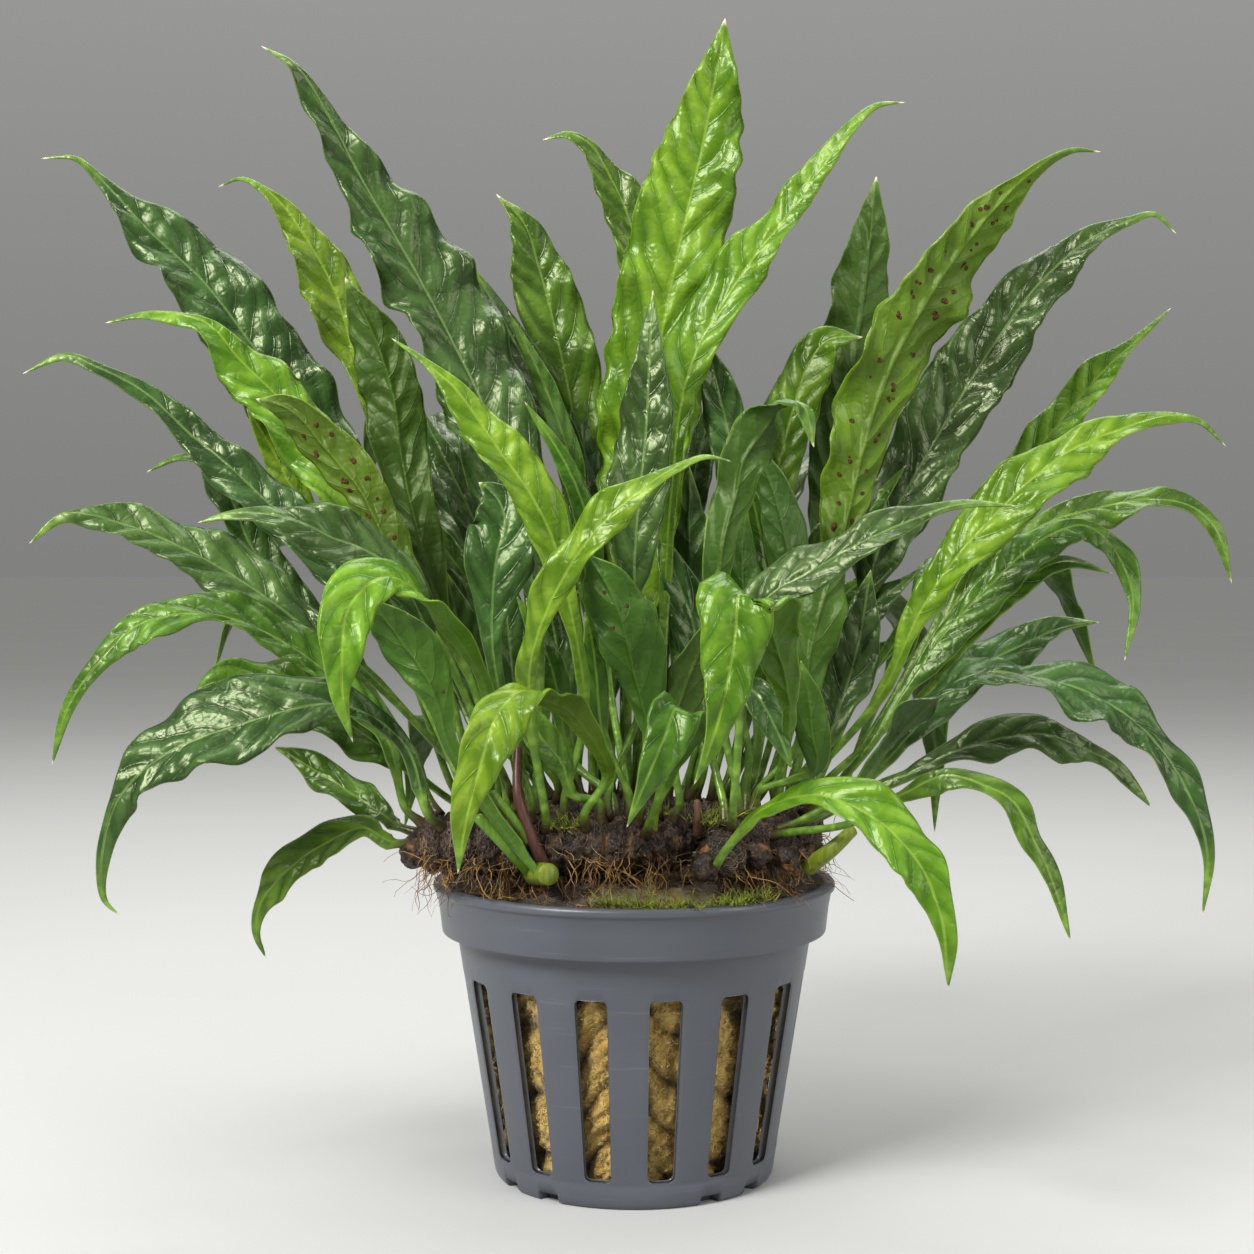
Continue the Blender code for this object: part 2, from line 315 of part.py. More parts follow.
    Frond("back_06", "mature", Seat("right", 1, (-0.2, 0.9, 0.4)), 0.22, (UP,),
          (1.8, 3.2, 4.2, 4.2, 3.4, 2.4, 1.1), (1.6, 3, 4, 4.4, 3.8, 2.6, 1.2),
          ((28, 20, 66), (36, 34, 80), (45, 46, 73), (50, 54, 56), (50.5, 56, 40))),
    Frond("back_07", "mature", Seat("right", 1, (0.8, 0.4, 0.45)), 0.24, (UP,),
          (2, 3.6, 4.6, 4.8, 4, 2.6, 1.2), (1.8, 3.4, 4.4, 4.6, 4.2, 3, 1.4),
          ((38, 20, 68), (52, 32, 86), (66, 42, 84), (76, 48, 66))),
    Frond("back_08", "mature", Seat("back", 0.32, (-0.2, 0.9, 0.15)), 0.22, (UP,),
          (1.6, 3, 4, 4, 3.4, 2.2, 1), (1.8, 3.2, 3.8, 4.1, 3.2, 2.4, 1.1),
          ((-20, 26, 57), (-27, 38, 63), (-34, 48, 57), (-38, 54, 41))),
)

# Colour, metallic and roughness of each material
FINISHES = {
    "pot_plastic": ((0.115, 0.125, 0.145), 0.0, 0.38),
    "medium_wool": ((0.46, 0.32, 0.11), 0.0, 0.95),
    "rhizome_bark": ((0.045, 0.026, 0.016), 0.0, 0.72),
    "frond_old": ((0.030, 0.115, 0.035), 0.0, 0.34),
    "frond_mature": ((0.060, 0.210, 0.030), 0.0, 0.36),
    "frond_young": ((0.135, 0.360, 0.035), 0.0, 0.38),
}


def clear_scene():
    """Remove every object, so that the model starts from nothing."""
    for obj in list(bpy.data.objects):
        bpy.data.objects.remove(obj, do_unlink=True)


def make_collection(name):
    """A new collection under the scene's own one."""
    collection = bpy.data.collections.new(name)
    bpy.context.scene.collection.children.link(collection)
    return collection


def make_material(name):
    """A Principled material from the finish of that name."""
    colour, metallic, roughness = FINISHES[name]
    material = bpy.data.materials.new(name)
    material.use_nodes = True
    shader = material.node_tree.nodes["Principled BSDF"]
    shader.inputs["Base Color"].default_value = (*colour, 1.0)
    shader.inputs["Metallic"].default_value = metallic
    shader.inputs["Roughness"].default_value = roughness
    material.diffuse_color = (*colour, 1.0)
    return material


def mesh_from_bmesh(name, bm):
    """Write a bmesh into a new mesh and shade its rounds smooth."""
    mesh = bpy.data.meshes.new(name)
    bm.to_mesh(mesh)
    bm.free()
    mesh.shade_smooth()
    mesh.set_sharp_from_angle(angle=radians(35))
    return mesh


def add_part(name, data, material, collection, parent, place=(0, 0, 0)):
    """One sub-part: an object at its place in metres, with its material and its parent."""
    obj = bpy.data.objects.new(name, data)
    obj.location = place
    obj.parent = parent
    data.materials.append(material)
    collection.objects.link(obj)
    return obj


def wall_radius(height):
    """Outer radius of the pot's tapered body at a height."""
    return BASE_RADIUS + (BODY_TOP_RADIUS - BASE_RADIUS) * height / (POT_HEIGHT - COLLAR_HEIGHT)


def pot_profile():
    """Section of the pot, from the middle of its floor up the inside and down the outside."""
    collar_foot = POT_HEIGHT - COLLAR_HEIGHT
    floor_edge = wall_radius(FLOOR_THICKNESS) - WALL
    step_inside = COLLAR_FOOT_RADIUS - WALL
    inside = [
        (0.0, FLOOR_THICKNESS),
        (floor_edge, FLOOR_THICKNESS),
        (BODY_TOP_RADIUS - WALL, collar_foot),
        (step_inside, collar_foot + WALL),
        (COLLAR_TOP_RADIUS - WALL, POT_HEIGHT - LIP_ROUND),
    ]
    lip = [
        (COLLAR_TOP_RADIUS - WALL + LIP_ROUND, POT_HEIGHT),
        (LIP_RADIUS - LIP_ROUND, POT_HEIGHT),
        (LIP_RADIUS, POT_HEIGHT - LIP_ROUND),
        (LIP_RADIUS, POT_HEIGHT - LIP_BEAD),
        (COLLAR_TOP_RADIUS, POT_HEIGHT - LIP_BEAD - LIP_ROUND),
    ]
    outside = [
        (COLLAR_FOOT_RADIUS, collar_foot),
        (BODY_TOP_RADIUS, collar_foot),
        (wall_radius(BASE_ROUND), BASE_ROUND),
        (BASE_RADIUS - BASE_ROUND_IN, 0.0),
        (0.0, 0.0),
    ]
    return inside + lip + outside


def turned_mesh(name, profile):
    """An open chain of edges in the XZ plane, for a Screw modifier to turn about Z."""
    mesh = bpy.data.meshes.new(name)
    points = [(radius * MM, 0.0, height * MM) for radius, height in profile]
    edges = [(i, i + 1) for i in range(len(points) - 1)]
    mesh.from_pydata(points, edges, [])
    return mesh


def turn_about_z(obj, steps):
    """Turn a profile once about Z into a closed solid."""
    screw = obj.modifiers.new("turn", "SCREW")
    screw.angle = 2 * pi
    screw.steps = steps
    screw.render_steps = steps
    screw.use_merge_vertices = True
    screw.merge_threshold = MERGE
    screw.use_smooth_shade = True


def ring_position(angle, radius, height=0.0):
    """Point at an angle in degrees from the front, positive toward +X."""
    turn = radians(angle)
    return Vector((radius * sin(turn), -radius * cos(turn), height))


def add_block(bm, angle, radial, width, vertical, width_top=None, corner=0.0):
    """A cutting block across the wall: radial and vertical are its (low, high) extents."""
    block = bmesh.ops.create_cube(bm, size=1.0)["verts"]
    top_scale = 1.0 if width_top is None else width_top / width
    reach = radial[1] - radial[0]
    for vert in block:
        side = vert.co.x * width * (top_scale if vert.co.z > 0 else 1.0)
        depth = radial[0] + (vert.co.y + 0.5) * reach
        height = vertical[0] + (vert.co.z + 0.5) * (vertical[1] - vertical[0])
        vert.co = Vector((side, depth, height)) * MM
    if corner:
        long_edges = {edge for vert in block for edge in vert.link_edges
                      if abs(edge.verts[0].co.y - edge.verts[1].co.y) > 0.5 * reach * MM}
        made = bmesh.ops.bevel(bm, geom=list(long_edges), offset=corner * MM, segments=2,
                               profile=0.5, affect="EDGES")
        block = list({vert for vert in made["verts"]} | {vert for vert in block if vert.is_valid})
    turn = Matrix.Rotation(radians(180.0 + angle), 3, "Z")
    bmesh.ops.rotate(bm, verts=block, cent=(0, 0, 0), matrix=turn)


def add_cutter(name, collection, blocks):
    """One hidden cutter object that holds all the blocks of one kind."""
    bm = bmesh.new()
    for block in blocks:
        add_block(bm, **block)
    mesh = bpy.data.meshes.new(name)
    bm.to_mesh(mesh)
    bm.free()
    cutter = bpy.data.objects.new(name, mesh)
    cutter.hide_render = True
    cutter.display_type = "WIRE"
    collection.objects.link(cutter)
    return cutter


def cut(obj, cutter):
    """Take the cutter's blocks out of a part."""
    boolean = obj.modifiers.new("cut " + cutter.name, "BOOLEAN")
    boolean.operation = "DIFFERENCE"
    boolean.solver = "EXACT"
    boolean.object = cutter


def build_pot(parts, cutters, parent, material):
    """The net pot: one turned shell with its slots and notches cut through."""
    pot = add_part("pot", turned_mesh("pot", pot_profile()), material, parts, parent)
    turn_about_z(pot, POT_STEPS)
    wall_slots = [dict(angle=SLOT_FIRST_ANGLE + 360.0 / SLOT_COUNT * i, radial=SLOT_REACH,
                       width=SLOT_WIDTH_BOTTOM, width_top=SLOT_WIDTH_TOP,
                       vertical=(SLOT_BOTTOM, SLOT_TOP), corner=SLOT_CORNER)
                  for i in range(SLOT_COUNT)]
    notches = [dict(angle=45.0 + 90.0 * quarter + NOTCH_PAIR_OFFSET + side * NOTCH_HALF_SPREAD,
                    radial=NOTCH_REACH, width=NOTCH_WIDTH, vertical=(-CUT_MARGIN, NOTCH_HEIGHT))
               for quarter in range(4) for side in (-1, 1)]
    floor_slots = [dict(angle=360.0 / FLOOR_SLOT_COUNT * i, radial=FLOOR_SLOT_REACH,
                        width=FLOOR_SLOT_WIDTH,
                        vertical=(-CUT_MARGIN, FLOOR_THICKNESS + CUT_MARGIN))
                   for i in range(FLOOR_SLOT_COUNT)]
    for name, blocks in (("wall_slots", wall_slots), ("base_notches", notches),
                         ("floor_slots", floor_slots)):
        cut(pot, add_cutter(name, cutters, blocks))
    return pot


def medium_radius(angle, height):
    """Radius of the wool: full behind each slot and drawn in at the folds between its lumps."""
    room = wall_radius(min(height, POT_HEIGHT - COLLAR_HEIGHT)) - WALL - MEDIUM_CLEARANCE
    around = 0.5 + 0.5 * cos(radians(angle - SLOT_FIRST_ANGLE) * SLOT_COUNT)
    share = (height - SLOT_BOTTOM) / (SLOT_TOP - SLOT_BOTTOM)
    upright = abs(sin(pi * MEDIUM_LUMPS_HIGH * share))
    return room - MEDIUM_FOLD * (1.0 - MEDIUM_AROUND * around - (1.0 - MEDIUM_AROUND) * upright)


def build_medium(parts, parent, material):
    """The wool plug: a sphere's grid of points, moved onto a lumpy cylinder with a low dome."""
    bm = bmesh.new()
    bmesh.ops.create_uvsphere(bm, u_segments=2 * SLOT_COUNT, v_segments=MEDIUM_RINGS, radius=1.0)
    foot = FLOOR_THICKNESS + MEDIUM_FOOT_GAP
    side_foot = foot + MEDIUM_FOOT_ROUND
    first_column = ring_position(SLOT_FIRST_ANGLE, 1.0)
    turn = Matrix.Rotation(np.arctan2(first_column.y, first_column.x), 3, "Z")
    for vert in bm.verts:
        direction = turn @ vert.co
        row = round(np.arccos(np.clip(vert.co.z, -1.0, 1.0)) / pi * MEDIUM_RINGS)
        angle = np.degrees(np.arctan2(direction.x, -direction.y))
        if row == 0:
            radius, height = 0.0, MEDIUM_TOP
        elif row == MEDIUM_RINGS:
            radius, height = 0.0, foot
        elif row == 1:
            radius, height = MEDIUM_CROWN
        elif row == 2:
            radius, height = MEDIUM_EDGE
        elif row == MEDIUM_RINGS - 1:
            radius, height = medium_radius(angle, foot) - MEDIUM_FOOT_ROUND, foot
        else:
            fall = (row - 3) / (MEDIUM_RINGS - 5)
            height = MEDIUM_SHOULDER + (side_foot - MEDIUM_SHOULDER) * fall
            radius = medium_radius(angle, height)
        flat = Vector((direction.x, direction.y, 0.0))
        if flat.length > 0:
            flat.normalize()
        vert.co = (flat * radius + Vector((0, 0, height))) * MM
    add_part("growing_medium", mesh_from_bmesh("growing_medium", bm), material, parts, parent)


def smooth_path(points, fractions):
    """Places on a smooth curve through the points, at fractions of its length.

    Between two points the curve is a cubic whose slope at each end follows the neighbours, with
    the time between points growing as the square root of their distance, so it never loops.
    """
    points = np.asarray(points, float)
    ends = np.vstack([2 * points[0] - points[1], points, 2 * points[-1] - points[-2]])
    times = np.sqrt(np.linalg.norm(np.diff(ends, axis=0), axis=1))
    spans = []
    for i in range(len(points) - 1):
        p0, p1, p2, p3 = ends[i:i + 4]
        before, span, after = times[i:i + 3]
        slope_1 = p2 - p1 + span * ((p1 - p0) / before - (p2 - p0) / (before + span))
        slope_2 = p2 - p1 + span * ((p3 - p2) / after - (p3 - p1) / (span + after))
        t = np.linspace(0, 1, PATH_STEPS)[:, None]
        spans.append((2 * t**3 - 3 * t**2 + 1) * p1 + (t**3 - 2 * t**2 + t) * slope_1
                     + (3 * t**2 - 2 * t**3) * p2 + (t**3 - t**2) * slope_2)
    curve = np.vstack([spans[0]] + [span[1:] for span in spans[1:]])
    walked = np.r_[0, np.cumsum(np.linalg.norm(np.diff(curve, axis=0), axis=1))]
    wanted = np.asarray(fractions) * walked[-1]
    return np.stack([np.interp(wanted, walked, curve[:, axis]) for axis in range(3)], axis=1)


def rhizome_axis(rhizome):
    """Close points on a rhizome's axis, and its full radius at each of them."""
    share = np.linspace(0, 1, AXIS_POINTS)
    radii = np.interp(share, np.linspace(0, 1, len(rhizome.radii)), rhizome.radii)
    return smooth_path(rhizome.route, share), radii


def build_rhizome(name, rhizome, parts, parent, material):
    """A creeping stem: a bevelled curve with a groove between segments and rounded ends."""
    axis, radii = rhizome_axis(rhizome)
    share = np.linspace(0, 1, 2 * rhizome.rings + 1)
    inner = smooth_path(rhizome.route, share)
    groove = 1.0 - RHIZOME_BUMP * (np.arange(len(share)) % 2)
    thick = np.interp(share, np.linspace(0, 1, len(radii)), radii) * groove
    nose = np.array(RHIZOME_NOSE)
    start_way = (inner[0] - inner[1]) / np.linalg.norm(inner[0] - inner[1])
    end_way = (inner[-1] - inner[-2]) / np.linalg.norm(inner[-1] - inner[-2])
    points = np.vstack([inner[0] + start_way * thick[0] * nose[:, None], inner,
                        inner[-1] + end_way * thick[-1] * nose[::-1, None]])
    round_off = np.sqrt(1.0 - nose**2)
    radius = np.r_[thick[0] * round_off, thick, thick[-1] * round_off[::-1]]
    place = Vector(inner[0]) * MM
    curve = bpy.data.curves.new(name, "CURVE")
    curve.dimensions = "3D"
    curve.bevel_depth = MM
    curve.bevel_resolution = 2
    curve.use_fill_caps = True
    spline = curve.splines.new("POLY")
    spline.points.add(len(points) - 1)
    for point, centre, size in zip(spline.points, points, radius):
        point.co = (*(Vector(centre) * MM - place), 1.0)
        point.radius = size
    obj = add_part(name, curve, material, parts, parent, place)
    weld = obj.modifiers.new("close caps", "WELD")
    weld.merge_threshold = MERGE


def seat_point(seat):
    """Foot of a frond: out from the axis in its direction until it clears every rhizome."""
    axis, radii = rhizome_axis(RHIZOMES[seat.rhizome])
    place = seat.along * (len(axis) - 1)
    first = min(int(place), len(axis) - 2)
    start = axis[first] + (axis[first + 1] - axis[first]) * (place - first)
    way = np.array(seat.direction, float) / np.linalg.norm(seat.direction)
    near, far = 0.0, SEAT_REACH
    for _ in range(SEAT_STEPS):
        middle = 0.5 * (near + far)
        clearance = (np.linalg.norm(axis - start - way * middle, axis=1) - radii).min()
        if clearance < TOUCH_GAP:
            near = middle
        else:
            far = middle
    return start + way * far, way


def half_width(widths, along, frond):
    """Half width of one side of a blade: a smooth curve through its widths at the eighths, which
    starts from nothing at the end of the stalk and comes back to nothing at the tip."""
    marks = np.array([0, *widths, 0], float)
    slopes = np.r_[0, (marks[2:] - marks[:-2]) / 2, marks[-1] - marks[-2]]
    spans = len(marks) - 1
    place = np.clip((along - frond.stalk) / (1 - frond.stalk), 0, 1) * spans
    first = np.minimum(place.astype(int), spans - 1)
    t = place - first
    curve = ((2 * t**3 - 3 * t**2 + 1) * marks[first] + (t**3 - 2 * t**2 + t) * slopes[first]
             + (3 * t**2 - 2 * t**3) * marks[first + 1] + (t**3 - t**2) * slopes[first + 1])
    return np.maximum(curve, 0)


def frond_stations(frond):
    """Fractions of the length where a frond has a section: three on the stalk, one at each of the
    blade's widths and two that close the tip."""
    blade = frond.stalk + (1 - frond.stalk) * np.linspace(0, 1, len(frond.left) + 2)[1:-1]
    return np.r_[0.0, 0.5 * frond.stalk, frond.stalk, blade, TIP_START, 1.0]


def frond_sections(frond):
    """Sections of a frond as (right, top, left, bottom) points, one row for each station."""
    foot, way = seat_point(frond.seat)
    route = [foot, foot + SEAT_LEAD * way, *frond.route]
    along = frond_stations(frond)
    centre = smooth_path(route, along)
    ahead = smooth_path(route, np.minimum(along + SLOPE_STEP, 1))
    behind = smooth_path(route, np.maximum(along - SLOPE_STEP, 0))
    tangent = (ahead - behind) / np.linalg.norm(ahead - behind, axis=1)[:, None]
    looks = np.array(frond.upper, float)
    share = np.linspace(0, 1, len(looks))
    upper = np.stack([np.interp(along, share, looks[:, axis]) for axis in range(3)], axis=1)
    upper -= (upper * tangent).sum(axis=1)[:, None] * tangent
    upper /= np.linalg.norm(upper, axis=1)[:, None]
    across = np.cross(upper, tangent)

    closing = np.clip((1 - along) / TIP_FADE, TIP_LEAST, 1) ** 0.5
    taper = (TIP_STALK + (1 - TIP_STALK) * (1 - along)) * closing
    stalk = STALK_HALF_WIDTH * taper
    to_left = half_width(frond.left, along, frond)
    to_right = half_width(frond.right, along, frond)
    blade = np.clip((to_left + to_right) / FULL_BLADE, 0, 1)[:, None]
    to_left = np.hypot(stalk, to_left)[:, None]
    to_right = np.hypot(stalk, to_right)[:, None]
    rise = (STALK_HALF_HEIGHT * taper)[:, None]
    above = rise + (MIDRIB_ABOVE - rise) * blade
    below = rise + (MIDRIB_BELOW - rise) * blade
    wave = BLADE_WAVE * blade * np.cos(pi * np.arange(len(along)))[:, None]
    keel = BLADE_KEEL * blade
    left = centre + across * to_left + upper * to_left * (keel + wave)
    right = centre - across * to_right + upper * to_right * (keel - wave)
    top = centre + upper * above
    bottom = centre - upper * below
    return foot, np.stack([right, top, left, bottom], axis=1)


def build_frond(frond, parts, parent, material):
    """A frond: its sections lofted from foot to tip into one closed body."""
    foot, sections = frond_sections(frond)
    bm = bmesh.new()
    rings = [[bm.verts.new((Vector(point) - Vector(foot)) * MM) for point in section]
             for section in sections]
    for lower, higher in zip(rings[:-1], rings[1:]):
        for side in range(4):
            turn = (side + 1) % 4
            bm.faces.new((lower[side], lower[turn], higher[turn], higher[side]))
    bm.faces.new(rings[0][::-1])
    bm.faces.new(rings[-1])
    bmesh.ops.triangulate(bm, faces=bm.faces[:])
    bmesh.ops.recalc_face_normals(bm, faces=bm.faces[:])
    name = "frond_" + frond.name
    add_part(name, mesh_from_bmesh(name, bm), material, parts, parent, Vector(foot) * MM)


def build():
    """Build the whole plant in its pot."""
    clear_scene()
    parts = make_collection("potted_java_fern")
    cutters = make_collection("cutters")
    materials = {name: make_material(name) for name in FINISHES}
    root = bpy.data.objects.new("plant_origin", None)
    parts.objects.link(root)
    build_pot(parts, cutters, root, materials["pot_plastic"])
    build_medium(parts, root, materials["medium_wool"])
    for name, rhizome in RHIZOMES.items():
        build_rhizome("rhizome_" + name, rhizome, parts, root, materials["rhizome_bark"])
    for frond in FRONDS:
        build_frond(frond, parts, root, materials["frond_" + frond.age])


build()
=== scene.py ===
"""Potted java fern, dressed: the slotted net pot, the mineral wool in it, three rhizomes with
their roots, and a crown of quilted fronds.

Lengths are millimetres until a mesh is made, where MM turns them into metres. +Z is up, the
front of the plant faces -Y, and the origin is the middle of the pot's underside.
"""
from collections import namedtuple
from math import pi

import bpy
import numpy as np
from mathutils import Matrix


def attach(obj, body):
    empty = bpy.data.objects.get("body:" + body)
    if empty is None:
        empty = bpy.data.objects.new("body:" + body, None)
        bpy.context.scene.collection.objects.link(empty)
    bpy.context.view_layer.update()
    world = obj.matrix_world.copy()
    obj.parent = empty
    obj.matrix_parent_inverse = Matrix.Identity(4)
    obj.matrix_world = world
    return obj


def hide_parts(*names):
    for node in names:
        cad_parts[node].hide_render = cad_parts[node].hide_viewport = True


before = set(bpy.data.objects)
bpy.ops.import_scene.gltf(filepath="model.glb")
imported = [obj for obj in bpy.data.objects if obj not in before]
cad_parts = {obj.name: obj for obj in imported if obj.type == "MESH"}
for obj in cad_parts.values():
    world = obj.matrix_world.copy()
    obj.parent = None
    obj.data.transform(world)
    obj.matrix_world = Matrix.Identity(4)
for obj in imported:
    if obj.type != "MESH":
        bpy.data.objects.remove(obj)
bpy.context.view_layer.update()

# Pot
# A thin tapered cup of grey polypropylene, moulded in one piece. Its collar steps out under a
# rolled lip, and tall slots, drain notches and floor slots are left open by the mould.
MM = 0.001
POT_HEIGHT = 41.0
COLLAR_HEIGHT = 7.0
COLLAR_TOP_RADIUS = 27.5
COLLAR_FOOT_RADIUS = 26.75
LIP_RADIUS = 28.0
BODY_TOP_RADIUS = 24.7
BASE_RADIUS = 19.36
WALL = 1.15
FLOOR_THICKNESS = 2.2
SLOT_COUNT = 15
SLOT_FIRST_ANGLE = -62.0
SLOT_BOTTOM = 3.8
SLOT_TOP = 28.4
SLOT_WIDTH = (3.6, 4.4)       # at the bottom and at the top
SLOT_CORNER = 0.7
SLOT_CELLS = 6                # columns of faces across a slot, and across the rib beside it
RIB_CELLS = 12
EDGE_ROUND = 0.22             # rounding of a slot's outer edge
SLOT_EDGE_DEPTH = 0.1         # how far a slot's outer edge lies behind the face round it
NOTCH_PAIR_OFFSET = -2.3      # degrees from a diagonal to the middle of its pair of notches
NOTCH_HALF_SPREAD = 11.25
NOTCH_ANGLES = [45.0 + 90.0 * quarter + NOTCH_PAIR_OFFSET + side * NOTCH_HALF_SPREAD
                for quarter in range(4) for side in (-1, 1)]
NOTCH_HALF_ANGLE = 4.7
NOTCH_EDGE = 0.12             # half the angle that the side of a notch takes up
# Radius and height of the foot's rows inside a notch
NOTCH_SECTION = ((17.6, 0.0), (17.62, 0.7), (17.7, 1.28), (18.5, 1.3), (19.2, 1.3), (19.56, 1.31))
FLOOR_SLOT_COUNT = 6
FLOOR_SLOT_HALF_WIDTH = 1.3
FLOOR_SLOT_REACH = (6.5, 14.5)
FLOOR_SLOT_CELLS = 5          # columns of faces across half a floor slot


def wall_radius(height):
    """Outer radius of the tapered body at a height: a straight line from base to collar."""
    return BASE_RADIUS + (BODY_TOP_RADIUS - BASE_RADIUS) * height / (POT_HEIGHT - COLLAR_HEIGHT)


def around_z(angle, radius, height):
    """Points at angles in degrees from the front, positive toward +X, at a radius and height."""
    turn = np.radians(angle)
    return np.stack(np.broadcast_arrays(radius * np.sin(turn), -radius * np.cos(turn), height), -1)


def turn_between(angle, centre):
    """Degrees from centre to an angle the short way round, between -180 and 180."""
    return (angle - centre + 180.0) % 360.0 - 180.0


def grid_cells(rows, columns):
    """Corner numbers of every cell of a grid of points, as quads; the last column joins the
    first."""
    row = np.arange(rows - 1)[:, None]
    column = np.arange(columns)[None, :]
    after = (column + 1) % columns
    corners = (row * columns + column, row * columns + after,
               (row + 1) * columns + after, (row + 1) * columns + column)
    return np.stack(np.broadcast_arrays(*corners), -1)


def add_piece(name, points, faces, material, replaces=(), attributes=None):
    """One finished piece from points in millimetres and a list of face arrays, each array with
    its own number of corners. attributes maps a name to one vector for each point."""
    mesh = bpy.data.meshes.new(name)
    points = np.asarray(points, float).reshape(-1, 3)
    corners = np.concatenate([part.ravel() for part in faces])
    sizes = np.concatenate([np.full(len(part.reshape(-1, part.shape[-1])), part.shape[-1])
                            for part in faces])
    mesh.vertices.add(len(points))
    mesh.vertices.foreach_set("co", (points * MM).astype(np.float32).ravel())
    mesh.loops.add(len(corners))
    mesh.loops.foreach_set("vertex_index", corners.astype(np.int32))
    mesh.polygons.add(len(sizes))
    mesh.polygons.foreach_set("loop_start", np.r_[0, np.cumsum(sizes)[:-1]].astype(np.int32))
    mesh.polygons.foreach_set("use_smooth", np.ones(len(sizes), bool))
    mesh.update(calc_edges=True)
    for label, values in (attributes or {}).items():
        layer = mesh.attributes.new(label, "FLOAT_VECTOR", "POINT")
        layer.data.foreach_set("vector", np.asarray(values, np.float32).reshape(-1))
    mesh.materials.append(material)
    obj = bpy.data.objects.new(name, mesh)
    bpy.context.scene.collection.objects.link(obj)
    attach(obj, "root")
    if replaces:
        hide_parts(*replaces)
    return obj


def new_material(name):
    """A material, its node tree, its shader, and the Object coordinates of its surface."""
    material = bpy.data.materials.new(name)
    material.use_nodes = True
    tree = material.node_tree
    place = add_node(tree, "ShaderNodeTexCoord").outputs["Object"]
    return material, tree, tree.nodes["Principled BSDF"], place


def add_node(tree, kind, links=None, **settings):
    """A shader node with its settings, and with links from sockets or plain values into its
    inputs, by name or number."""
    node = tree.nodes.new(kind)
    for key, value in settings.items():
        setattr(node, key, value)
    for key, value in (links or {}).items():
        if isinstance(value, bpy.types.NodeSocket):
            tree.links.new(value, node.inputs[key])
        else:
            node.inputs[key].default_value = value
    return node


def math_node(tree, operation, *values):
    """The result of one sum on sockets or numbers."""
    return add_node(tree, "ShaderNodeMath", dict(enumerate(values)), operation=operation).outputs[0]


def mix_colours(tree, share, first, second):
    """first where share is 0 and second where it is 1."""
    node = add_node(tree, "ShaderNodeMix", {0: share, 6: first, 7: second}, data_type="RGBA")
    return node.outputs[2]


def ramp(tree, value, start, end, low=0.0, high=1.0):
    """value carried from start..end to low..high, smoothly and never past either."""
    links = {"Value": value, "From Min": start, "From Max": end, "To Min": low, "To Max": high}
    node = add_node(tree, "ShaderNodeMapRange", links, interpolation_type="SMOOTHSTEP")
    return node.outputs["Result"]


def noise(tree, place, scale, detail=4.0, roughness=0.55):
    """Cloudy noise between 0 and 1, with scale lumps in a metre."""
    links = {"Vector": place, "Scale": scale, "Detail": detail, "Roughness": roughness}
    return add_node(tree, "ShaderNodeTexNoise", links).outputs["Fac"]


def stretched(tree, place, scales):
    """A place squeezed by a factor on each axis, which draws a pattern out along the others."""
    return add_node(tree, "ShaderNodeMapping", {"Vector": place, "Scale": scales}).outputs["Vector"]


def point_facts(tree, label):
    """The three numbers that a point carries under a label."""
    facts = add_node(tree, "ShaderNodeAttribute", attribute_name=label).outputs["Vector"]
    return add_node(tree, "ShaderNodeSeparateXYZ", {0: facts}).outputs


def set_relief(tree, shader, strength, distance, height):
    """Fine relief on the shader: distance in metres for a height of 1."""
    links = {"Strength": strength, "Distance": distance, "Height": height}
    bump = add_node(tree, "ShaderNodeBump", links)
    tree.links.new(bump.outputs["Normal"], shader.inputs["Normal"])


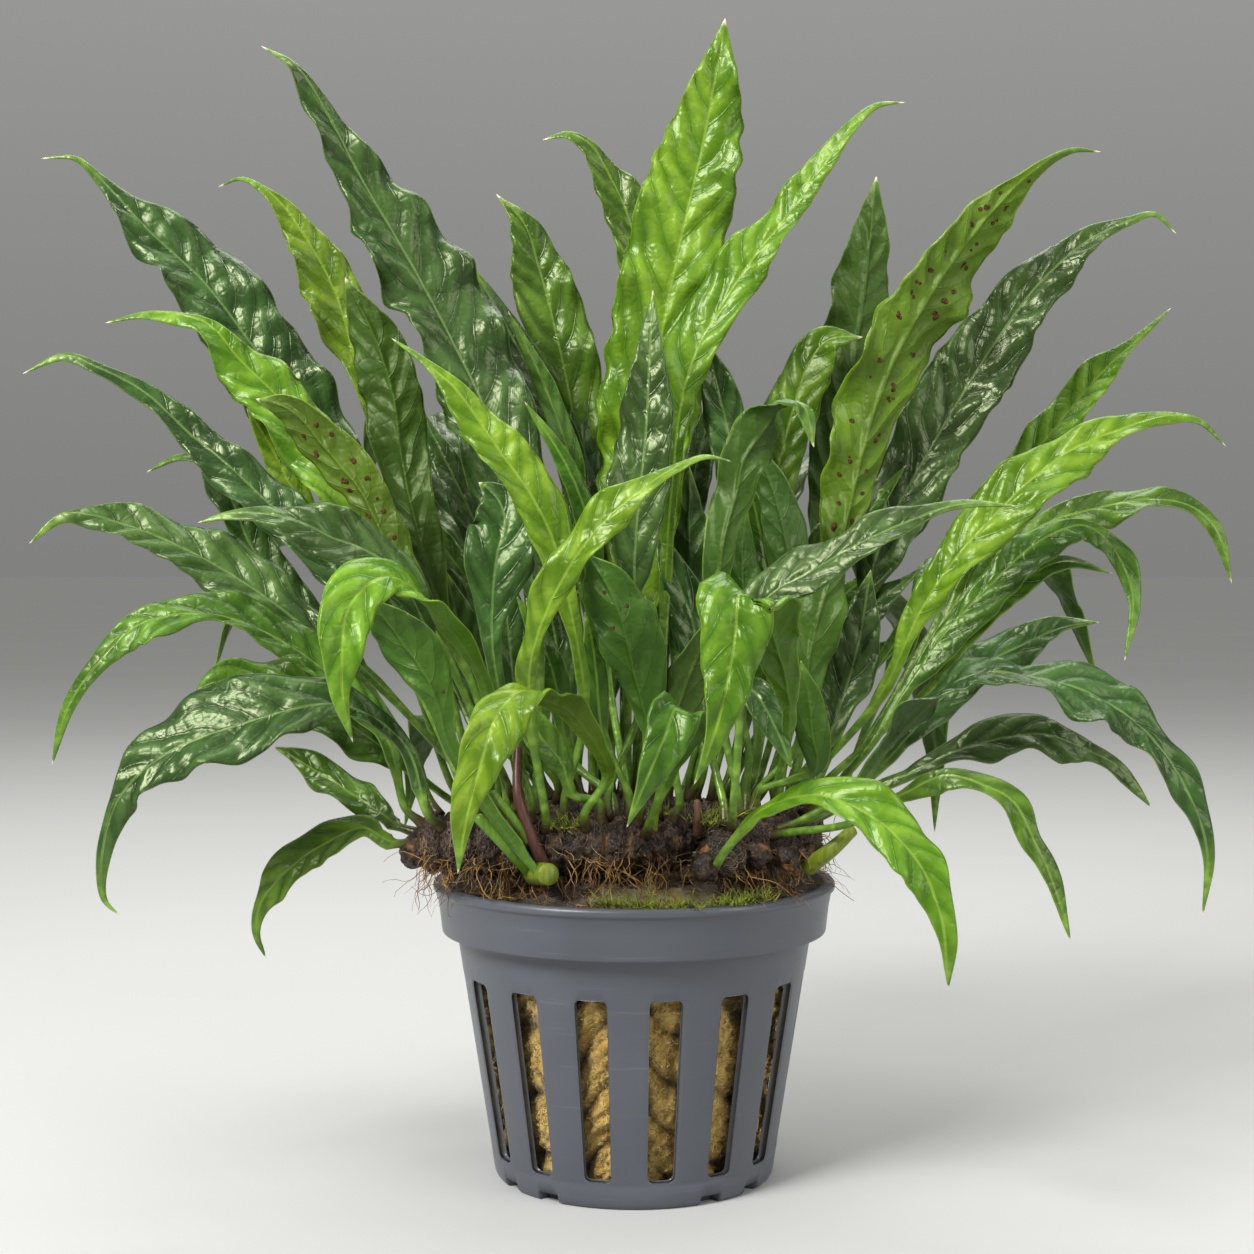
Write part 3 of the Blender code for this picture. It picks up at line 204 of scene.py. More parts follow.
def pot_rows():
    """Section of the pot as rows of (radius, height), from the middle of the underside up the
    outside, over the lip, down the inside and back to the middle of the floor, with the row
    numbers of the wall slots and of the floor slots on both faces."""
    corner = np.array([0.0, 0.1, 0.35, 0.7])
    slot_heights = np.r_[SLOT_BOTTOM + corner, np.linspace(6.5, 26, 8), (SLOT_TOP - corner)[::-1]]
    slot_radii = np.r_[FLOOR_SLOT_REACH[0] + corner, 10.5, (FLOOR_SLOT_REACH[1] - corner)[::-1]]
    foot = POT_HEIGHT - COLLAR_HEIGHT
    under = [(0.0, 0.0), (4.0, 0.0)] + [(radius, 0.0) for radius in slot_radii]
    under += [(17.6, 0.0), (BASE_RADIUS - 0.6, 0.0), (BASE_RADIUS - 0.22, 0.16),
              (BASE_RADIUS + 0.02, 0.5), (wall_radius(0.9), 0.9), (wall_radius(1.3), 1.3)]
    wall = [(wall_radius(3.0), 3.0), (wall_radius(3.1) - 0.07, 3.12),
            (wall_radius(SLOT_BOTTOM - EDGE_ROUND), SLOT_BOTTOM - EDGE_ROUND)]
    wall += [(wall_radius(height), height) for height in slot_heights]
    wall += [(wall_radius(height), height) for height in (SLOT_TOP + EDGE_ROUND, 30.0, 33.0)]
    collar = [(wall_radius(foot - 0.35), foot - 0.35), (wall_radius(foot) + 0.12, foot - 0.1),
              (wall_radius(foot) + 0.4, foot), (COLLAR_FOOT_RADIUS - 0.3, foot),
              (COLLAR_FOOT_RADIUS - 0.08, foot + 0.08), (COLLAR_FOOT_RADIUS, foot + 0.3),
              (27.1, 37.4), (COLLAR_TOP_RADIUS - 0.02, 39.5), (COLLAR_TOP_RADIUS + 0.12, 39.72),
              (LIP_RADIUS - 0.2, 39.85), (LIP_RADIUS - 0.04, 40.0), (LIP_RADIUS, 40.3),
              (LIP_RADIUS - 0.06, 40.7), (LIP_RADIUS - 0.25, 40.93), (LIP_RADIUS - 0.55, 41.0),
              (COLLAR_TOP_RADIUS - 0.75, 41.0), (COLLAR_TOP_RADIUS - 1.0, 40.9),
              (COLLAR_TOP_RADIUS - WALL, 40.6), (COLLAR_FOOT_RADIUS - WALL, foot + 1.5),
              (COLLAR_FOOT_RADIUS - WALL - 0.4, foot + 1.15), (24.0, foot + 0.9)]
    inside = [(wall_radius(height) - WALL, height) for height in (33.0, SLOT_TOP + EDGE_ROUND)]
    inside += [(wall_radius(height) - WALL, height) for height in slot_heights[::-1]]
    inside += [(wall_radius(2.6) - WALL, 2.6), (wall_radius(2.2) - WALL - 0.5, FLOOR_THICKNESS)]
    floor = [(radius, FLOOR_THICKNESS) for radius in slot_radii[::-1]] + [(4.0, FLOOR_THICKNESS),
                                                                        (0.0, FLOOR_THICKNESS)]
    rows = np.array(under + wall + collar + inside + floor)
    first = len(under) + 3
    last = len(under) + len(wall) + len(collar) + 2
    outer_slot = first + np.arange(len(slot_heights))
    inner_slot = last + np.arange(len(slot_heights))[::-1]
    under_slot = 2 + np.arange(len(slot_radii))
    floor_slot = len(rows) - 3 - np.arange(len(slot_radii))
    return rows, outer_slot, inner_slot, under_slot, floor_slot


def corner_inset(distance):
    """How far a slot's side moves in near its end: the gap between a quarter circle and its
    square corner."""
    left = np.clip(SLOT_CORNER - distance, 0, SLOT_CORNER)
    return SLOT_CORNER - np.sqrt(SLOT_CORNER**2 - left**2)


def pot_surface():
    """The pot as a turned grid whose columns follow the slots' sides. The cells inside a slot
    are left out on both faces, and strips across the wall join the two open edges."""
    rows, outer_slot, inner_slot, under_slot, floor_slot = pot_rows()
    radius, height = rows[:, 0], rows[:, 1]
    width = np.interp(height, (SLOT_BOTTOM, SLOT_TOP), SLOT_WIDTH)
    edge = np.minimum(height - SLOT_BOTTOM, SLOT_TOP - height).clip(0, None)
    half = np.degrees((0.5 * width - corner_inset(edge)) / np.maximum(radius, BASE_RADIUS - WALL))
    rim = np.degrees(EDGE_ROUND / np.maximum(radius, BASE_RADIUS))
    period = 360.0 / SLOT_COUNT
    slot_part = np.linspace(-1, 1, SLOT_CELLS + 1)[None, :] * half[:, None]
    rib = np.linspace(0, 1, RIB_CELLS + 1)[None, :]
    rib_start, rib_end = (half + rim)[:, None], (period - half - rim)[:, None]
    block = np.hstack([slot_part, rib_start + (rib_end - rib_start) * rib])
    per_slot = block.shape[1]
    starts = SLOT_FIRST_ANGLE + period * np.arange(SLOT_COUNT)
    angle = (starts[None, :, None] + block[:, None, :]).reshape(len(rows), -1)
    columns = angle.shape[1]
    radius = np.repeat(radius[:, None], columns, 1)
    height = np.repeat(height[:, None], columns, 1)

    slot_left = per_slot * np.arange(SLOT_COUNT)
    around_slot = (slot_left[:, None] + np.arange(SLOT_CELLS + 1)).ravel()
    sides = np.r_[slot_left, slot_left + SLOT_CELLS]
    radius[np.ix_(outer_slot, sides)] -= SLOT_EDGE_DEPTH
    radius[np.ix_(outer_slot[[0, -1]], around_slot)] -= SLOT_EDGE_DEPTH

    usual = angle[0]
    for centre in NOTCH_ANGLES:
        gap = turn_between(usual, centre)
        inside = np.flatnonzero(np.abs(gap) < NOTCH_HALF_ANGLE)
        low = rows[:, 1] < 1.4
        bottom = np.flatnonzero(low & (rows[:, 0] > 17.0) & (np.arange(len(rows)) < outer_slot[0]))
        for row, (notch_radius, notch_height) in zip(bottom, NOTCH_SECTION):
            radius[row, inside] = notch_radius
            height[row, inside] = notch_height
            first, last = inside[np.argmin(gap[inside])], inside[np.argmax(gap[inside])]
            angle[row, first] = centre - NOTCH_HALF_ANGLE + NOTCH_EDGE
            angle[row, last] = centre + NOTCH_HALF_ANGLE - NOTCH_EDGE
            angle[row, (first - 1) % columns] = centre - NOTCH_HALF_ANGLE - NOTCH_EDGE
            angle[row, (last + 1) % columns] = centre + NOTCH_HALF_ANGLE + NOTCH_EDGE

    cells = grid_cells(len(rows), columns)
    keep = np.ones(cells.shape[:2], bool)
    slot_cells = (slot_left[:, None] + np.arange(SLOT_CELLS)).ravel()
    for slot in (outer_slot, inner_slot):
        keep[np.ix_(np.arange(slot.min(), slot.max()), slot_cells)] = False
    strips = []
    for start in slot_left:
        strips += wall_strips(outer_slot, inner_slot, start, start + SLOT_CELLS, columns)
    for index in range(FLOOR_SLOT_COUNT):
        centre = 360.0 * index / FLOOR_SLOT_COUNT
        gap = turn_between(usual, centre)
        middle = int(np.argmin(np.abs(gap)))
        spread = np.arange(-FLOOR_SLOT_CELLS, FLOOR_SLOT_CELLS + 1)
        chosen = (middle + spread) % columns
        for slot in (under_slot, floor_slot):
            distance = np.minimum(rows[slot, 0] - FLOOR_SLOT_REACH[0], FLOOR_SLOT_REACH[1] - rows[slot, 0])
            share = np.degrees((FLOOR_SLOT_HALF_WIDTH - corner_inset(distance)) / rows[slot, 0])
            angle[slot[:, None], chosen[None, :]] = centre + share[:, None] * spread / FLOOR_SLOT_CELLS
            ring = np.arange(slot.min(), slot.max())
            keep[ring[:, None], chosen[None, :-1]] = False
        strips += wall_strips(under_slot, floor_slot, chosen[0], chosen[-1], columns)

    points = around_z(angle, radius, height)
    return points, [cells[keep]] + strips


def wall_strips(outer, inner, left, right, columns):
    """Quads across the wall round one slot, from the open edge of the outer face to the inner."""
    across = np.arange(left, right if right > left else right + columns)
    strips = []
    for column, order in ((left, 1), (right, -1)):
        sides = np.stack([outer[:-1] * columns + column, inner[:-1] * columns + column,
                          inner[1:] * columns + column, outer[1:] * columns + column], -1)
        strips.append(sides[:, ::-order])
    for row, order in ((0, -1), (-1, 1)):
        here, after = across % columns, (across + 1) % columns
        ends = np.stack([outer[row] * columns + here, inner[row] * columns + here,
                         inner[row] * columns + after, outer[row] * columns + after], -1)
        strips.append(ends[:, ::-order])
    return strips


def pot_plastic():
    """Satin grey polypropylene: a flow of slightly lighter and darker grey, hair-fine scratches
    round the wall, and a roughness that varies as handling leaves it."""
    material, tree, shader, place = new_material("pot_plastic")
    cloud = noise(tree, place, 90.0, 3.0)
    scratch = noise(tree, stretched(tree, place, (60.0, 60.0, 1400.0)), 1.0, 3.0, 0.6)
    marks = ramp(tree, scratch, 0.62, 0.72)
    plain = mix_colours(tree, cloud, (0.060, 0.066, 0.080, 1), (0.083, 0.089, 0.104, 1))
    tree.links.new(mix_colours(tree, math_node(tree, "MULTIPLY", marks, 0.25), plain,
                               (0.15, 0.16, 0.175, 1)), shader.inputs["Base Color"])
    speckle = noise(tree, place, 2600.0, 2.0)
    rough = math_node(tree, "ADD", ramp(tree, cloud, 0.3, 0.7, 0.30, 0.37),
                      ramp(tree, speckle, 0.4, 0.7, -0.01, 0.015))
    tree.links.new(rough, shader.inputs["Roughness"])
    set_relief(tree, shader, 0.10, 0.00006, marks)
    return material


pot_points, pot_faces = pot_surface()
add_piece("net_pot", pot_points, pot_faces, pot_plastic(), ["pot"])

# Mineral wool
# A plug of golden mineral wool, stuffed into the pot by hand: it swells into lumps behind each
# slot, draws in at the ribs, and its loose fibres curl out all over.
WOOL_CLEARANCE = 0.45
WOOL_FOLD = 1.7
WOOL_FOOT = FLOOR_THICKNESS + 0.35
WOOL_COLUMNS = 360
WOOL_ROWS = 130
WOOL_LID_ROWS = 34
WOOL_SHOULDER = 39.3          # height where the side turns into the top
WOOL_TOP = 42.2               # height of the middle of the dome on top
WOOL_DROP = 2.3               # how far the dome sinks toward the rim
WOOL_FLAT = 12.0              # radius of the dome's level middle, and width of the slope round it
WOOL_FIBRES = 5800
WOOL_FIBRE_RADIUS = 0.045
WOOL_SEED = 21
WOOL_RIPPLE = 11              # first of six seeds


def ripple(points, wavelength, seed, waves=22):
    """Cloudy relief about -1 to 1: the sum of sine waves of random direction and phase, whose
    lengths lie round the wavelength, at points in millimetres."""
    draw = np.random.default_rng(seed)
    way = draw.normal(size=(waves, 3))
    way /= np.linalg.norm(way, axis=1)[:, None]
    way *= 2 * pi / wavelength * draw.uniform(0.6, 1.5, waves)[:, None]
    return np.sin(points @ way.T + draw.uniform(0, 2 * pi, waves)).sum(-1) * (1.4 / waves**0.5)


def tube_faces(count, length, sides):
    """Faces of capped tubes that follow each other in a list of points: length rings each."""
    start = (np.arange(count) * length * sides)[:, None, None, None]
    quads = (grid_cells(length, sides)[None] + start).reshape(-1, 4)
    caps = np.arange(sides)[None, :] + start.reshape(-1, 1)
    return [quads, caps[:, ::-1], caps + (length - 1) * sides]


def strands(paths, radii, sides=3):
    """Thin tubes, one for each path of points, with a radius at each point. Two directions
    square to the path carry a ring of sides round it, and both ends are capped."""
    count, length = paths.shape[:2]
    along = np.gradient(paths, axis=1)
    along /= np.linalg.norm(along, axis=-1, keepdims=True) + 1e-12
    mean = paths[:, -1] - paths[:, 0] + 1e-9
    pick = np.eye(3)[np.abs(mean).argmin(axis=1)][:, None, :]
    first = np.cross(along, pick)
    first /= np.linalg.norm(first, axis=-1, keepdims=True) + 1e-12
    second = np.cross(along, first)
    turn = 2 * pi * np.arange(sides) / sides
    ring = np.cos(turn)[:, None] * first[:, :, None, :] + np.sin(turn)[:, None] * second[:, :, None, :]
    points = paths[:, :, None, :] + ring * radii[:, :, None, None]
    return points.reshape(-1, 3), tube_faces(count, length, sides)


def wool_place(angle, height):
    """Points on the wool's side, and the depth of its fold there, which the wool's colour takes as painted
    shade. The radius is the room inside the wall, less a fold that is deepest at the ribs and between the
    lumps, whose heights wander from slot to slot."""
    room = wall_radius(np.minimum(height, POT_HEIGHT - COLLAR_HEIGHT)) - WALL - WOOL_CLEARANCE
    place = around_z(angle, room, height)
    swing = 1.6 * ripple(place * (0.5, 0.5, 0.05), 9.0, WOOL_RIPPLE)
    slot_turn = np.radians(angle - SLOT_FIRST_ANGLE) * SLOT_COUNT
    around = 0.5 + 0.5 * np.cos(slot_turn + 0.9 * ripple(place, 14.0, WOOL_RIPPLE + 1))
    upright = np.abs(np.sin(pi * (height - SLOT_BOTTOM) / 8.2 + swing)) ** 0.6
    depth = np.clip(1.0 - 0.36 * around - 0.64 * upright, 0, 1)
    relief = 0.22 * ripple(place, 2.2, WOOL_RIPPLE + 2) + 0.10 * ripple(place, 0.8, WOOL_RIPPLE + 3)
    radius = room - WOOL_FOLD * depth - 0.35 + relief
    top = np.clip((height - 34.0) / 6.0, 0, 1)
    radius = np.minimum(radius, room) * (1 - top) + (room - 0.6 + relief) * top
    return around_z(angle, radius, height), depth


def wool_sink(radius):
    """How far the dome of the wool's top lies below its middle: the square of the way out."""
    return WOOL_DROP * np.clip((radius - WOOL_FLAT) / WOOL_FLAT, 0, 1) ** 2


def wool_top(angle, radius):
    """Points on the wool's top: a low dome with soft lumps."""
    height = WOOL_TOP - wool_sink(radius)
    place = around_z(angle, radius, height)
    place[..., 2] += 0.28 * ripple(place, 4.0, WOOL_RIPPLE + 4) + 0.12 * ripple(place, 1.3, WOOL_RIPPLE + 5)
    return place


wool_angles = np.arange(WOOL_COLUMNS) * 360.0 / WOOL_COLUMNS
wool_heights = np.linspace(WOOL_FOOT + 0.8, WOOL_SHOULDER, WOOL_ROWS)
wool_side, wool_fold_shade = wool_place(wool_angles[None, :], wool_heights[:, None])
edge_radius = np.linalg.norm(wool_side[-1, :, :2], axis=-1)
shares = np.linspace(0.985, 0.0, WOOL_LID_ROWS)[:, None]
wool_lid = wool_top(wool_angles[None, :], edge_radius[None, :] * shares)
foot_radius = np.linalg.norm(wool_side[0, :, :2], axis=-1)
wool_floor = around_z(wool_angles[None, :], foot_radius[None, :] * np.array([[0.0], [0.6], [0.95]]),
                      np.full((3, 1), WOOL_FOOT))
wool_points = np.concatenate([wool_floor, wool_side, wool_lid])
# Painted shade for each point: the fold depth on the side, much on the underside, none on the top.
wool_shade = np.concatenate([np.full((3, WOOL_COLUMNS), 0.8), wool_fold_shade,
                             np.full(wool_lid.shape[:2], 0.25)])


def moss_unshaded_share(points):
    """How much of the wool's top shows golden moss: most at the front, right of the middle. Elsewhere the top
    is painted nearly black, as shade.
    """
    return np.exp(-((points[..., 0] - 5.8) / 10.0) ** 4 - ((points[..., 1] + 24.0) / 7.0) ** 4)


wool_facts = np.stack([wool_shade, wool_points[..., 2], moss_unshaded_share(wool_points)], -1)


def wool_material(name, light):
    """Golden fibre: ochre that goes from pale to brown in fine clouds, with painted shade that darkens it in
    the folds and on the underside, olive with moss on the top at the front and painted nearly black as shade
    over the rest of the top. light is how pale the palest fibres are."""
    material, tree, shader, place = new_material(name)
    depth, height, moss_unshaded = point_facts(tree, "wool_facts")
    cloud = noise(tree, place, 420.0, 4.0, 0.6)
    fine = noise(tree, place, 2600.0, 3.0, 0.7)
    body = mix_colours(tree, ramp(tree, cloud, 0.35, 0.66), (0.30, 0.170, 0.022, 1),
                       (0.54 * light, 0.37 * light, 0.085 * light, 1))
    body = mix_colours(tree, ramp(tree, fine, 0.45, 0.7, 0.0, 0.7), body,
                       (0.76 * light, 0.60 * light, 0.23 * light, 1))
    # Painted shade: the wool darkens toward near black with the depth of its folds, and on its underside.
    body = mix_colours(tree, ramp(tree, depth, 0.25, 0.85, 0.0, 0.92), body, (0.075, 0.045, 0.010, 1))
    moss = mix_colours(tree, cloud, (0.060, 0.050, 0.006, 1), (0.24, 0.185, 0.018, 1))
    # Painted shade: away from the front, the top's moss goes nearly black.
    moss = mix_colours(tree, moss_unshaded, (0.030, 0.018, 0.006, 1), moss)
    body = mix_colours(tree, ramp(tree, height, 34.0, 39.5), body, moss)
    tree.links.new(body, shader.inputs["Base Color"])
    shader.inputs["Roughness"].default_value = 0.9
    shader.inputs["Sheen Weight"].default_value = 0.25
    set_relief(tree, shader, 0.8, 0.0002, fine)
    return material


add_piece("mineral_wool", wool_points, [grid_cells(len(wool_points), WOOL_COLUMNS)],
          wool_material("wool_mass", 0.75), ["growing_medium"], {"wool_facts": wool_facts})

wool_draw = np.random.default_rng(WOOL_SEED)
curl = np.linspace(0, 1, 6)
fibre_angle = wool_draw.uniform(0, 360, WOOL_FIBRES)
fibre_height = wool_draw.uniform(WOOL_FOOT + 1.5, 33.5, WOOL_FIBRES)
fibre_turn = wool_draw.uniform(0, 2 * pi, WOOL_FIBRES)
fibre_reach = wool_draw.uniform(0.6, 1.7, WOOL_FIBRES)
wander_angle = fibre_angle[:, None] + np.degrees(
    (fibre_reach * np.cos(fibre_turn))[:, None] * (curl - 0.5) / 20.0)
wander_height = fibre_height[:, None] + (fibre_reach * np.sin(fibre_turn))[:, None] * (curl - 0.5)
fibre_paths, fibre_fold_shade = wool_place(wander_angle, wander_height)
lift = np.sin(pi * curl) ** 0.8 * wool_draw.uniform(0.05, 0.50, WOOL_FIBRES)[:, None]
fibre_paths[..., :2] *= 1 + (lift / np.linalg.norm(fibre_paths[..., :2], axis=-1))[..., None]
fibre_paths += 0.10 * wool_draw.normal(size=fibre_paths.shape)
fibre_points, fibre_faces = strands(fibre_paths, np.full(fibre_paths.shape[:2], WOOL_FIBRE_RADIUS))
# The fibres take the same painted shade from the fold under them.
fibre_facts = np.stack([fibre_fold_shade, fibre_paths[..., 2], fibre_fold_shade * 0], -1)
add_piece("wool_fibres", fibre_points, fibre_faces, wool_material("wool_fibre", 1.3),
          attributes={"wool_facts": np.repeat(fibre_facts.reshape(-1, 3), 3, 0)})

# Rhizomes
# Three thick creeping stems of dark, scaly bark, grooved between their old segments and covered
# with fine hair roots that lie along them. They rest on the wool.
SEGMENT = 2.7                 # distance between two old leaf segments
GROOVE_DEPTH = 0.55
BARK_RIPPLE = 31              # first of four seeds
RHIZOME_ROWS = 130
RHIZOME_COLUMNS = 96
HAIRS_PER_LENGTH = 62
HAIR_POINTS = 7
HAIR_SEED = 40
# Points of the axis, and the radius at even shares of its length
Rhizome = namedtuple("Rhizome", "route radii")
RHIZOMES = {
    "front": Rhizome(((-25.5, -12.5, 47.4), (-12, -14, 47.2), (4.2, -12.8, 47.4)), (4.3, 4.4, 3.8)),
    "right": Rhizome(((11.2, -18.5, 46.4), (14.5, -11, 47.2), (20, -3, 47.6), (23.5, 6, 47.2)),
                     (3.2, 4.1, 4.2, 3.7)),
    "back": Rhizome(((-20, 10.5, 47.2), (-2, 8.2, 47.6), (15, 6.8, 47.3)), (4.0, 4.3, 3.8)),
}


def smooth_path(points, fractions):
    """Places on a smooth curve through the points, at fractions of its length. Between two
    points the curve is a cubic whose end slopes follow the neighbours, and the time between
    points grows as the square root of their distance."""
    points = np.asarray(points, float)
    ends = np.vstack([2 * points[0] - points[1], points, 2 * points[-1] - points[-2]])
    times = np.sqrt(np.linalg.norm(np.diff(ends, axis=0), axis=1))
    spans = []
    for i in range(len(points) - 1):
        p0, p1, p2, p3 = ends[i:i + 4]
        before, span, after = times[i:i + 3]
        slope_1 = p2 - p1 + span * ((p1 - p0) / before - (p2 - p0) / (before + span))
        slope_2 = p2 - p1 + span * ((p3 - p2) / after - (p3 - p1) / (span + after))
        t = np.linspace(0, 1, 61)[:, None]
        spans.append((2 * t**3 - 3 * t**2 + 1) * p1 + (t**3 - 2 * t**2 + t) * slope_1
                     + (3 * t**2 - 2 * t**3) * p2 + (t**3 - t**2) * slope_2)
    curve = np.vstack([spans[0]] + [span[1:] for span in spans[1:]])
    walked = np.r_[0, np.cumsum(np.linalg.norm(np.diff(curve, axis=0), axis=1))]
    wanted = np.asarray(fractions) * walked[-1]
    return np.stack([np.interp(wanted, walked, curve[:, axis]) for axis in range(3)], axis=-1)


def path_length(points, steps=200):
    """Length of the smooth curve through the points, summed over short straight steps."""
    curve = smooth_path(points, np.linspace(0, 1, steps))
    return np.linalg.norm(np.diff(curve, axis=0), axis=1).sum()


def rhizome_place(rhizome, along, turn, lift=0.0):
    """Points on a rhizome, at millimetres along it (before 0 and past its length lie the round
    ends) and a turn in radians round it from the top. The radius follows a half circle at the
    ends, sinks at each groove, and takes bark relief; lift raises a point off the bark."""
    length = path_length(rhizome.route)
    inside = np.clip(along, 0, length) / length
    centre = smooth_path(rhizome.route, inside)
    ahead = smooth_path(rhizome.route, np.minimum(inside + 0.02, 1))
    behind = smooth_path(rhizome.route, np.maximum(inside - 0.02, 0))
    tangent = (ahead - behind) / np.linalg.norm(ahead - behind, axis=-1, keepdims=True)
    radius = np.interp(inside, np.linspace(0, 1, len(rhizome.radii)), rhizome.radii)
    past = along - np.clip(along, 0, length)
    centre = centre + tangent * past[..., None]
    radius = np.sqrt(np.clip(radius**2 - past**2, 1e-4, None))
    side = np.cross(tangent, (0.0, 0.0, 1.0))
    side /= np.linalg.norm(side, axis=-1, keepdims=True)
    top = np.cross(side, tangent)
    way = top * np.cos(turn)[..., None] + side * np.sin(turn)[..., None]
    place = centre + way * radius[..., None]
    groove = np.cos(pi * along / SEGMENT + 0.5 * ripple(place, 9.0, BARK_RIPPLE)) ** 8
    bark = (0.16 * ripple(place, 2.6, BARK_RIPPLE + 1) + 0.11 * ripple(place, 1.0, BARK_RIPPLE + 2)
            + 0.06 * ripple(place, 0.5, BARK_RIPPLE + 3))
    ends = np.clip(radius / 3.0, 0, 1)
    return centre + way * (radius + (bark - GROOVE_DEPTH * groove - 0.15) * ends + lift)[..., None]


def rhizome_material():
    """Dark brown bark: nearly black to brown in clouds, with paler scaly flakes and rusty flecks."""
    material, tree, shader, place = new_material("rhizome_bark")
    cloud = noise(tree, place, 700.0, 5.0, 0.65)
    flakes = add_node(tree, "ShaderNodeTexVoronoi", {"Vector": place, "Scale": 1500.0}).outputs["Distance"]
    fleck = noise(tree, place, 330.0, 2.0)
    body = mix_colours(tree, ramp(tree, cloud, 0.36, 0.68), (0.006, 0.004, 0.003, 1),
                       (0.055, 0.034, 0.020, 1))
    body = mix_colours(tree, ramp(tree, flakes, 0.25, 0.05, 0.0, 0.45), body, (0.19, 0.14, 0.10, 1))
    body = mix_colours(tree, ramp(tree, fleck, 0.60, 0.72, 0.0, 0.7), body, (0.26, 0.115, 0.030, 1))
    tree.links.new(body, shader.inputs["Base Color"])
    tree.links.new(ramp(tree, cloud, 0.3, 0.7, 0.34, 0.70), shader.inputs["Roughness"])
    shader.inputs["Specular IOR Level"].default_value = 0.30
    set_relief(tree, shader, 0.9, 0.0003, math_node(tree, "SUBTRACT", cloud, flakes))
    return material


def root_material(name, dark, pale):
    """A fine root: brown to straw-coloured, changing along and between roots."""
    material, tree, shader, place = new_material(name)
    cloud = noise(tree, place, 260.0, 4.0, 0.6)
    fine = noise(tree, place, 1500.0, 2.0)
    body = mix_colours(tree, ramp(tree, cloud, 0.36, 0.64), dark, pale)
    body = mix_colours(tree, ramp(tree, fine, 0.5, 0.75, 0.0, 0.5), body, dark)
    tree.links.new(body, shader.inputs["Base Color"])
    shader.inputs["Roughness"].default_value = 0.45
    return material


bark = rhizome_material()
hair_material = root_material("hair_root", (0.018, 0.010, 0.006, 1), (0.19, 0.125, 0.075, 1))
for order, (name, rhizome) in enumerate(RHIZOMES.items()):
    stem_length = path_length(rhizome.route)
    first_end = rhizome.radii[0] * np.sin(np.linspace(-pi / 2, 0, 14))[:-1]
    last_end = stem_length + rhizome.radii[-1] * np.sin(np.linspace(0, pi / 2, 14))[1:]
    stem_along = np.r_[first_end, np.linspace(0, stem_length, RHIZOME_ROWS), last_end]
    stem_turn = np.linspace(0, 2 * pi, RHIZOME_COLUMNS + 1)[:-1]
    along_grid, turn_grid = np.meshgrid(stem_along, stem_turn, indexing="ij")
    stem = rhizome_place(rhizome, along_grid, turn_grid)
    add_piece("rhizome_" + name + "_bark", stem, tube_faces(1, len(stem_along), RHIZOME_COLUMNS), bark,
              ["rhizome_" + name])

    hair_draw = np.random.default_rng(HAIR_SEED + order)
    hairs = int(HAIRS_PER_LENGTH * stem_length)
    step = np.linspace(0, 1, HAIR_POINTS)
    hair_along = (hair_draw.uniform(-2.5, stem_length + 2.5, hairs)[:, None]
                  + hair_draw.normal(0, 1.6, hairs)[:, None] * step)
    hair_turn = (hair_draw.uniform(0, 2 * pi, hairs)[:, None]
                 + hair_draw.normal(0, 0.55, hairs)[:, None] * step
                 + 0.10 * hair_draw.normal(size=(hairs, HAIR_POINTS)).cumsum(1))
    hair_lift = 0.02 + np.abs(hair_draw.normal(0, 0.13, hairs))[:, None] * step**2
    hair_paths = rhizome_place(rhizome, hair_along, hair_turn, hair_lift)
    thickness = hair_draw.uniform(0.03, 0.09, hairs)[:, None] * (1.0 - 0.6 * step)
    hair_points, hair_faces = strands(hair_paths, thickness)
    add_piece("rhizome_" + name + "_hair_roots", hair_points, hair_faces, hair_material)

# Fronds
# Leathery simple leaves on thin stalks, glossy and quilted between side veins that loop toward
# the tip, with waved margins and a tip drawn out long and thin. Each grows out of a rhizome.
FROND_SEED = 100
TINT_SEED = 1000
STALK_HALF_WIDTH = 0.58
STALK_HALF_HEIGHT = 0.52
STALK_WING = 1.15             # half width of the narrow wings of blade that run down a stalk
BLADE_KEEL = 0.13             # how far the midrib lies below the margins, as a share of the half width
SEAT_DEPTH = 0.9              # how far a stalk starts inside the bark
SEAT_LEAD = 2.5               # length of the straight start of a stalk
SEAT_GAP = 0.35
FULL_BLADE = 5.0              # a blade as wide as this has nothing left of the stalk's shape
# Relief as a share of the blade's width, and the most that it may be
PILLOW = (0.056, 0.64)
CREASE = (0.034, 0.34)
CREASE_CELL = 5.0             # size of the cells that the creases part
VEIN_SPACING = (3.3, 0.20)    # distance between side veins: a fixed part, and a share of the width
SCALLOP = 0.022               # share of the half width by which a margin swings in and out
MARGIN_WAVE = (0.045, 0.19)   # and up and down: with the side veins, and wandering
HALF_THICKNESS = (0.13, 0.10)   # at the margin, and added toward the midrib
MIDRIB_RELIEF = (0.42, 0.10)    # below and above
MIDRIB_WIDTH = 0.30
FROND_STEP = 0.58             # length of a cell
FROND_COLUMNS = 26            # cells from margin to margin on one face
UP = (0, 0, 1)
FRONT = (0, -1, 0)
BACK = (0, 1, 0)
FRONT_UP = (0, -0.8, 0.6)
UP_FRONT = (0, -0.6, 0.8)
BACK_UP = (0, 0.85, 0.5)

# Where a stalk leaves its rhizome: how far along it, as a share, and the direction it grows in
Seat = namedtuple("Seat", "rhizome along direction")
